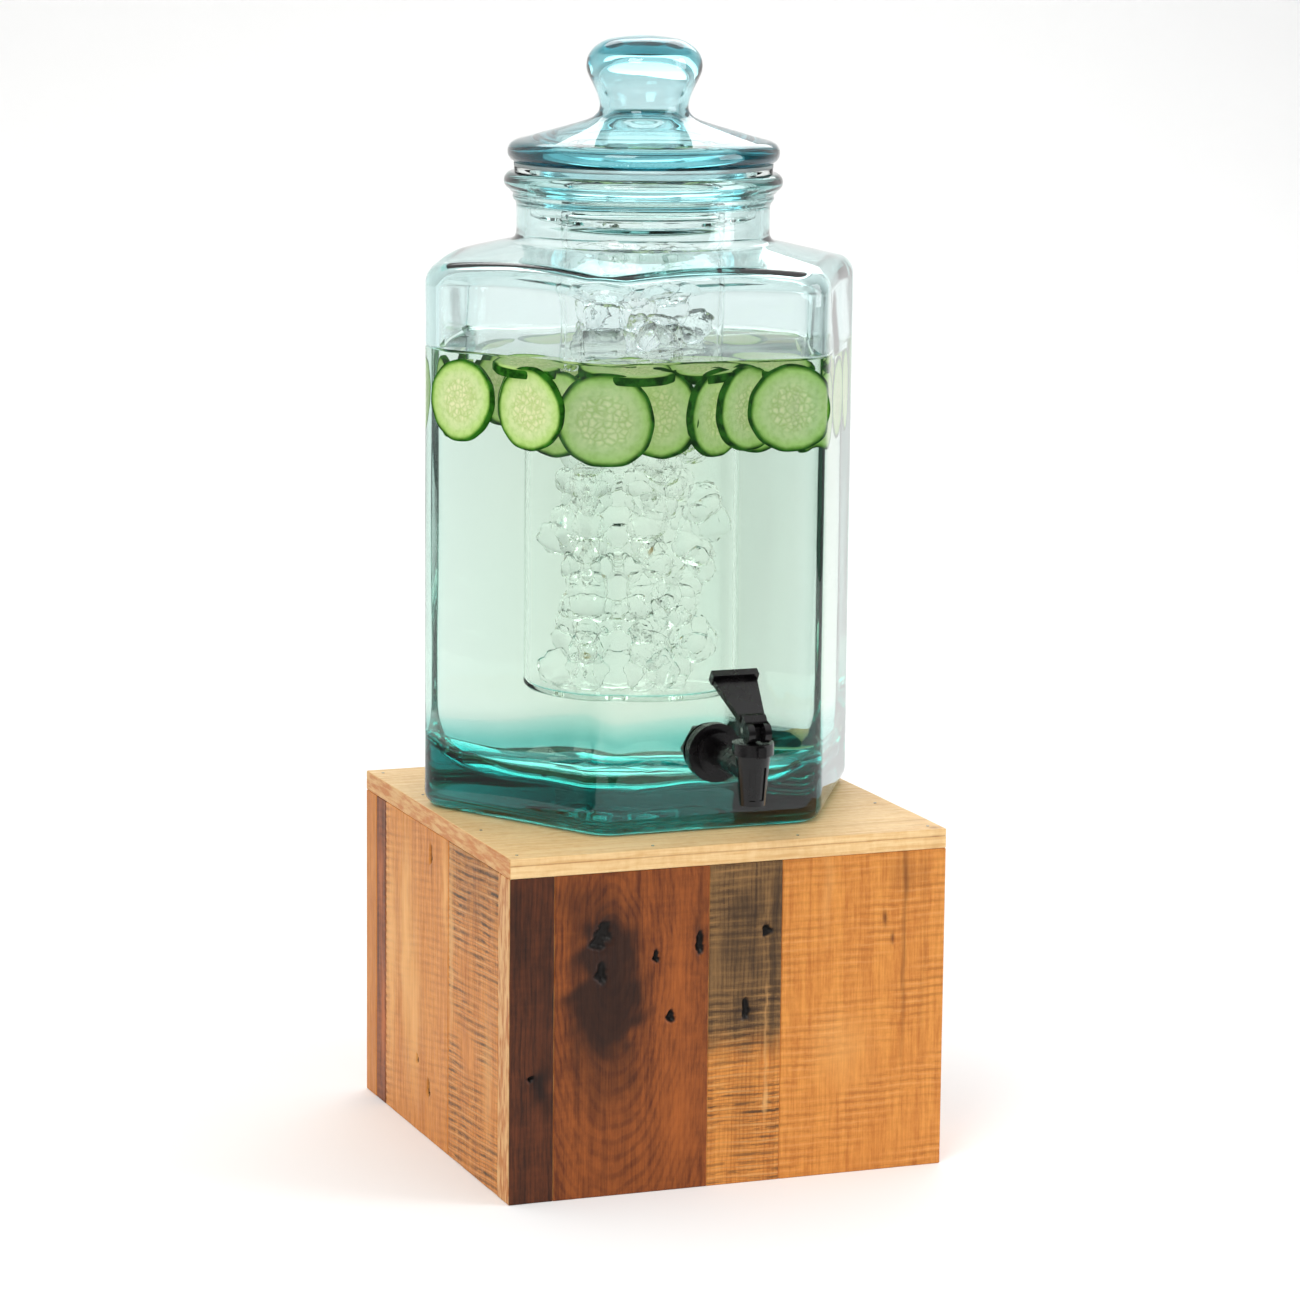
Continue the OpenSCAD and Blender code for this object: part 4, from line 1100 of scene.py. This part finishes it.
# per slice: place (x, y, z) in mm, way it faces (degrees round from +X, degrees up), radius in mm
sliceList = [
    (-112, -8, 415, 210, 3, 22.0), (-88, -50, 414, 210, -4, 22.4),  # against the left pane
    (-55, -74, 410, 247, 2, 25.0), (-24, -66, 412, 232, 5, 24.0),  # in the near corner, and one behind it
    (8, -70, 412, 303, -4, 24.0), (24, -74, 414, 298, 3, 23.0),
    (46, -82.5, 414, 270, 2, 23.8),  # against the front pane
    (60, -62, 411, 330, 4, 23.0), (84, -28, 413, 330, -3, 22.5), (-70, -52, 411, 222, 8, 23.0),
    (-40, -52, 414, 250, -8, 23.5), (34, -56, 412, 280, 6, 23.5),
    (-74, -20, 416, 195, 12, 22.0), (98, 14, 412, 350, 5, 23.0), (72, 62, 414, 35, -6, 22.5),
    (28, 96, 415, 80, 5, 23.0), (-22, 98, 412, 100, -4, 22.0), (-66, 70, 414, 140, 6, 23.0),
    (-102, 30, 413, 165, -5, 22.4),
    (-82, -34, 434.5, 262, 82, 20.5), (-36, -62, 433.5, 265, 81, 22.0),
    (6, -60, 433.0, 240, 83, 21.0), (46, -54, 433.5, 270, 82, 21.0),
]


def buildSlices():
    # a disc with a rounded edge as rings from the middle of one cut face over the rim to the other
    edge, half = sliceShape["edge"], sliceShape["thickness"] / 2
    sides = sliceShape["sides"]
    theta = np.arange(sides) / sides * 2 * np.pi
    shells = Shells()
    for number, (x, y, z, facing, tilt, radius) in enumerate(sliceList):
        rng = np.random.default_rng(500 + number)
        size, place = radius * mm, np.array([x, y, z]) * mm
        shares = np.array([0.08, 0.16, 0.24, 0.31, 0.38, 0.45, 0.52, 0.59, 0.67, 0.76, 0.85, 0.93])
        turn = np.radians(np.linspace(90, 0, 4))
        faceOut = np.stack([shares * (size - edge), np.full(len(shares), half)], axis=-1)
        rim = np.stack([size - edge + edge * np.cos(turn), half - edge + edge * np.sin(turn)], axis=-1)
        up = np.concatenate([faceOut, rim])
        profile = np.concatenate([up * [1, -1], [(size + 0.15 * mm, 0)], up[::-1]])
        lobes = 1
        for waves, depth in sliceShape["lobes"]:
            lobes = lobes + depth * np.sin(waves * theta + rng.uniform(0, 6))
        away = profile[:, None, 0] * lobes[None]
        share = np.broadcast_to(profile[:, None, 0] / size, away.shape)
        px, py = away * np.cos(theta), away * np.sin(theta)
        h = np.broadcast_to(profile[:, None, 1], away.shape).copy()
        # seed pockets: three groups of small bumps round the core, and a dished centre
        core = np.exp(-((share - 0.36) / 0.15) ** 2)
        pockets = core * np.sin(18 * theta + 2 * number) * (0.6 + 0.4 * np.cos(3 * theta + number))
        h += np.sign(h) * (share < 0.9) * (0.22 * mm * pockets - 0.12 * mm * np.exp(-(share / 0.2) ** 2))
        h += 0.5 * mm * (share**2) * np.sin(theta * 2 + rng.uniform(0, 6))  # slight warp
        rollAngle = rng.uniform(0, 2 * np.pi)
        a, e = math.radians(facing), math.radians(tilt)
        normal = np.array([math.cos(a) * math.cos(e), math.sin(a) * math.cos(e), math.sin(e)])
        side = np.array([-math.sin(a), math.cos(a), 0])
        rise = np.cross(normal, side)
        u = side * math.cos(rollAngle) + rise * math.sin(rollAngle)
        v = np.cross(normal, u)
        grid = place + px[..., None] * u + py[..., None] * v + h[..., None] * normal
        skin = np.broadcast_to(np.clip((share - 0.925) / 0.035, 0, 1), away.shape)
        tags = np.stack([share, skin, px / size, py / size, np.full(away.shape, number * 1.7)], axis=-1)
        shells.add(grid, place - normal * half, place + normal * half, tag=tags)
    slices = shells.build("cucumber_slices", tagNames=("reach", "skin", "sliceX", "sliceY", "sliceNumber"))
    slices.data.materials.append(cucumberMaterial())
    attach(slices, "jar")


def cucumberMaterial():
    # pale core to green rim by the share of the radius, seeds from cells round the core, and a dark rind; the
    # same colours are also given off as a painted glow
    mat, tree, shader = newMaterial("cucumber")
    w = Wires(tree)
    spot = w.node("ShaderNodeCombineXYZ")
    for socket, name in zip(spot.inputs, ("sliceX", "sliceY", "sliceNumber")):
        w.link(w.attribute(name), socket)
    reach = w.attribute("reach")
    cloud = w.noise(spot.outputs[0], 4.0, 4.0)
    bent = w.maths("ADD", reach, w.maths("MULTIPLY", w.maths("SUBTRACT", cloud, 0.5), 0.16))
    flesh = w.mix(w.ramp(bent, 0.30, 0.62), tint("e0e6b4"), tint("d4e4a8"))
    flesh = w.mix(w.ramp(bent, 0.60, 0.88), flesh, tint("bcdc84"))
    flesh = w.mix(w.ramp(bent, 0.84, 0.95), flesh, tint("7cb343"))
    # seeds: pale cells with darker jelly between them, only round the core
    cell = w.node("ShaderNodeTexVoronoi", feature="DISTANCE_TO_EDGE")
    w.link(spot.outputs[0], cell.inputs["Vector"])
    cell.inputs["Scale"].default_value = 7.5
    line = w.ramp(cell.outputs[0], 0.02, 0.20, 0.6, 0.0)
    inCore = w.maths("MULTIPLY", w.ramp(bent, 0.62, 0.46), w.ramp(bent, 0.02, 0.12))
    flesh = w.mix(w.maths("MULTIPLY", line, w.maths("MULTIPLY", inCore, 0.75)), flesh, tint("a9c566"))
    seed = w.ramp(cell.outputs[0], 0.20, 0.34)
    flesh = w.mix(w.maths("MULTIPLY", seed, w.maths("MULTIPLY", inCore, 0.7)), flesh, tint("eff0c0"))
    streaks = w.noise(w.place((1, 1, 1)), 330, 3.0)
    flesh = w.mix(w.ramp(streaks, 0.40, 0.68, 0.0, 0.35), flesh, tint("9cc463"))
    rind = w.mix(w.ramp(w.noise(w.place((1, 1, 1)), 160, 4.0), 0.35, 0.65), tint("123a0c"), tint("2f6d1c"))
    body = w.mix(w.attribute("skin"), flesh, rind)
    # painted glow: the lit colour is dimmed by a third and the whole colour is also given off as emission
    tree.links.new(w.mix(0.34, body, (0.0, 0.0, 0.0, 1.0)), shader.inputs["Base Color"])
    tree.links.new(body, shader.inputs["Emission Color"])
    shader.inputs["Emission Strength"].default_value = sliceShape["paintedGlow"]
    shader.inputs["IOR"].default_value = 1.08
    clear = w.maths("MULTIPLY_ADD", w.attribute("skin"), -0.15, 0.15)
    tree.links.new(clear, shader.inputs["Transmission Weight"])
    tree.links.new(w.ramp(cloud, 0.3, 0.7, 0.75, 0.9), shader.inputs["Roughness"])
    height = w.maths("ADD", w.noise(w.place(), 900, 3.0), seed)
    tree.links.new(w.bump(height, 0.4, 0.0002), shader.inputs["Normal"])
    return mat


iceShape = {
    "lowest": 263.0 * mm,  # middle of the first layer
    "layers": 20,
    "layerHeight": 11.6 * mm,
    "perLayer": 5,
    "ring": 25.0 * mm,  # how far the chunks stand from the axis
    "half": 12.0 * mm,
    "sparseFrom": 13,  # from this layer up the chunks are larger and nearer the wall
    "clearance": 1.0 * mm,  # between chunks and tube
    "rows": 16,
    "sides": 24,
    "look": ((0.90, 0.95, 0.95), 1.0, 1.045, 0.0, (320, 0.0012)),  # tint, density, IOR, roughness, wobble
}


def iceMaterial():
    # clear body with fine crinkles, and a little cloudy white in patches
    mat = glassMaterial("iceClear", *iceShape["look"])
    w = Wires(mat.node_tree)
    cloudy = w.ramp(w.noise(w.place(), 90, 4.0), 0.50, 0.72, 0.0, 0.12)
    w.link(cloudy, mat.node_tree.nodes["Principled BSDF"].inputs["Roughness"])
    return mat


def buildIce():
    # each chunk is a soft-cornered block: a ball pushed out to a rounded cube, then broken by ridges
    shells = Shells()
    shape = iceShape
    phi = np.linspace(-np.pi / 2, np.pi / 2, shape["rows"] + 2)[1:-1, None]
    theta = np.arange(shape["sides"])[None] / shape["sides"] * 2 * np.pi
    way = np.stack(np.broadcast_arrays(np.cos(phi) * np.cos(theta), np.cos(phi) * np.sin(theta),
                                       np.sin(phi)), axis=-1)
    cube = (np.abs(way) ** 3.2).sum(-1) ** (-1 / 3.2)
    for number in range(shape["layers"] * shape["perLayer"]):
        layer, place = divmod(number, shape["perLayer"])
        rng = np.random.default_rng(900 + number)
        sparse = layer >= shape["sparseFrom"]
        size = shape["half"] * rng.uniform(0.5, 1.15, 3) * (1.25 if sparse else 1)
        shift = rng.uniform(0, 99, 3)
        x, y, z = (way[..., k] + shift[k] for k in range(3))
        ridge = np.abs(ripples(x, y, z, number, 1.3))
        small = np.abs(ripples(x, y, way[..., 2], number + 77, 0.5))
        body = way * (cube * (0.74 + 0.18 * ridge + 0.08 * small))[..., None] * size
        spin, lean = rng.uniform(0, 6.3), rng.normal(0, 0.8, 2)
        turnZ = np.array([[math.cos(spin), -math.sin(spin), 0],
                          [math.sin(spin), math.cos(spin), 0], [0, 0, 1]])
        turnX = np.array(Matrix.Rotation(lean[0], 3, "X"))
        turnY = np.array(Matrix.Rotation(lean[1], 3, "Y"))
        turnAll = turnZ @ turnX @ turnY
        bearing = (place + 0.5 * (layer % 2)) / shape["perLayer"] * 2 * np.pi + rng.uniform(-0.5, 0.5)
        out = shape["ring"] * (rng.uniform(0.75, 1.2) if sparse else rng.uniform(0.25, 1.12))
        middle = jarAxis + [out * math.cos(bearing), out * math.sin(bearing),
                            shape["lowest"] + layer * shape["layerHeight"] + rng.uniform(-3, 3) * mm]
        grid = body @ turnAll.T + middle
        reach = np.hypot(grid[..., 0] - jarAxis[0], grid[..., 1] - jarAxis[1])
        squeeze = np.minimum(1, (tubeShape["radius"] - tubeShape["wall"] - shape["clearance"]) / reach)
        grid[..., 0] = jarAxis[0] + (grid[..., 0] - jarAxis[0]) * squeeze
        grid[..., 1] = jarAxis[1] + (grid[..., 1] - jarAxis[1]) * squeeze
        shells.add(grid)
    ice = shells.build("ice_chunks")
    ice.data.materials.append(iceMaterial())
    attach(ice, "ice_tube")


def tapPlasticMaterial():  # black, with a faint cloud in colour and gloss
    mat, tree, shader = newMaterial("tapPlastic")
    w = Wires(tree)
    cloud = w.noise(w.place(), 120, 4.0)
    body = w.mix(w.ramp(cloud, 0.35, 0.7), tint("080708"), tint("121011"))
    tree.links.new(body, shader.inputs["Base Color"])
    shader.inputs["Specular IOR Level"].default_value = 0.34
    tree.links.new(w.ramp(cloud, 0.3, 0.7, 0.16, 0.30), shader.inputs["Roughness"])
    tree.links.new(w.bump(w.noise(w.place(), 1600, 2.0), 0.25, 0.0001), shader.inputs["Normal"])
    return mat


def rubberMaterial():  # matt, with fine grit
    mat, tree, shader = newMaterial("blackRubber")
    w = Wires(tree)
    grit = w.noise(w.place(), 900, 3.0)
    tree.links.new(w.mix(grit, tint("1a1a1a"), tint("2b2a29")), shader.inputs["Base Color"])
    tree.links.new(w.ramp(grit, 0.3, 0.7, 0.62, 0.85), shader.inputs["Roughness"])
    tree.links.new(w.bump(grit, 0.4, 0.0001), shader.inputs["Normal"])
    return mat


def siliconeMaterial():  # milky and partly clear
    mat, tree, shader = newMaterial("clearSilicone")
    w = Wires(tree)
    cloud = w.noise(w.place(), 300, 3.0)
    tree.links.new(w.mix(cloud, tint("e2ebe8"), tint("f4f8f7")), shader.inputs["Base Color"])
    shader.inputs["Transmission Weight"].default_value = 0.75
    shader.inputs["IOR"].default_value = 1.41
    tree.links.new(w.ramp(cloud, 0.3, 0.7, 0.28, 0.45), shader.inputs["Roughness"])
    return mat


springShape = {
    "wire": 0.9 * mm,
    "turns": 5,
    "perTurn": 36,
    "sides": 10,
    "travel": 4.0 * mm,  # how far the stem squeezes it
}


def buildSpring():
    # round wire carried up a helix filling the spring's CAD box; its top stays under the bonnet
    low, high = nodeBox("tap_spring")
    half, turns, perTurn = springShape["wire"] / 2, springShape["turns"], springShape["perTurn"]
    along = np.linspace(0, 1, turns * perTurn + 1)[:, None]
    bearing = -np.arange(springShape["sides"]) / springShape["sides"] * 2 * np.pi
    turned = 2 * np.pi * turns * along
    reach = (high[0] - low[0]) / 2 - half + half * np.cos(bearing)
    height = low[2] + half + (high[2] - low[2] - 2 * half) * along + half * np.sin(bearing)
    middle = (low + high) / 2 * [1, 1, 0]
    grid = np.stack([reach * np.cos(turned), reach * np.sin(turned), height], axis=-1) + middle
    shells = Shells()
    shells.add(grid)
    spring = shells.build("tap_spring_coil")
    spring.data.materials.append(steelMaterial())
    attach(spring, "jar")
    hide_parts("tap_spring")
    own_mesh(spring)


def buildTap():  # finishes of the tap's pieces and the gasket, and the spring
    plastic, rubber = tapPlasticMaterial(), rubberMaterial()
    for node in ("tap_body", "tap_bonnet", "tap_stem", "tap_handle", "tap_nut"):
        dress(node, plastic)
    for node in ("tap_seat", "tap_washer_outer", "tap_washer_inner"):
        dress(node, rubber)
    dress("tap_pin", steelMaterial())
    buildSpring()
    dress("lid_gasket", siliconeMaterial())


print("studio")
buildCamera()
buildStudio()
print("stand boards")
buildStand()
print("jar and lid")
buildJar()
buildBaseTint()
buildLid()
print("ice tube, water, slices and ice")
buildIceTube()
buildWater()
buildSlices()
buildIce()
print("tap and gasket")
buildTap()
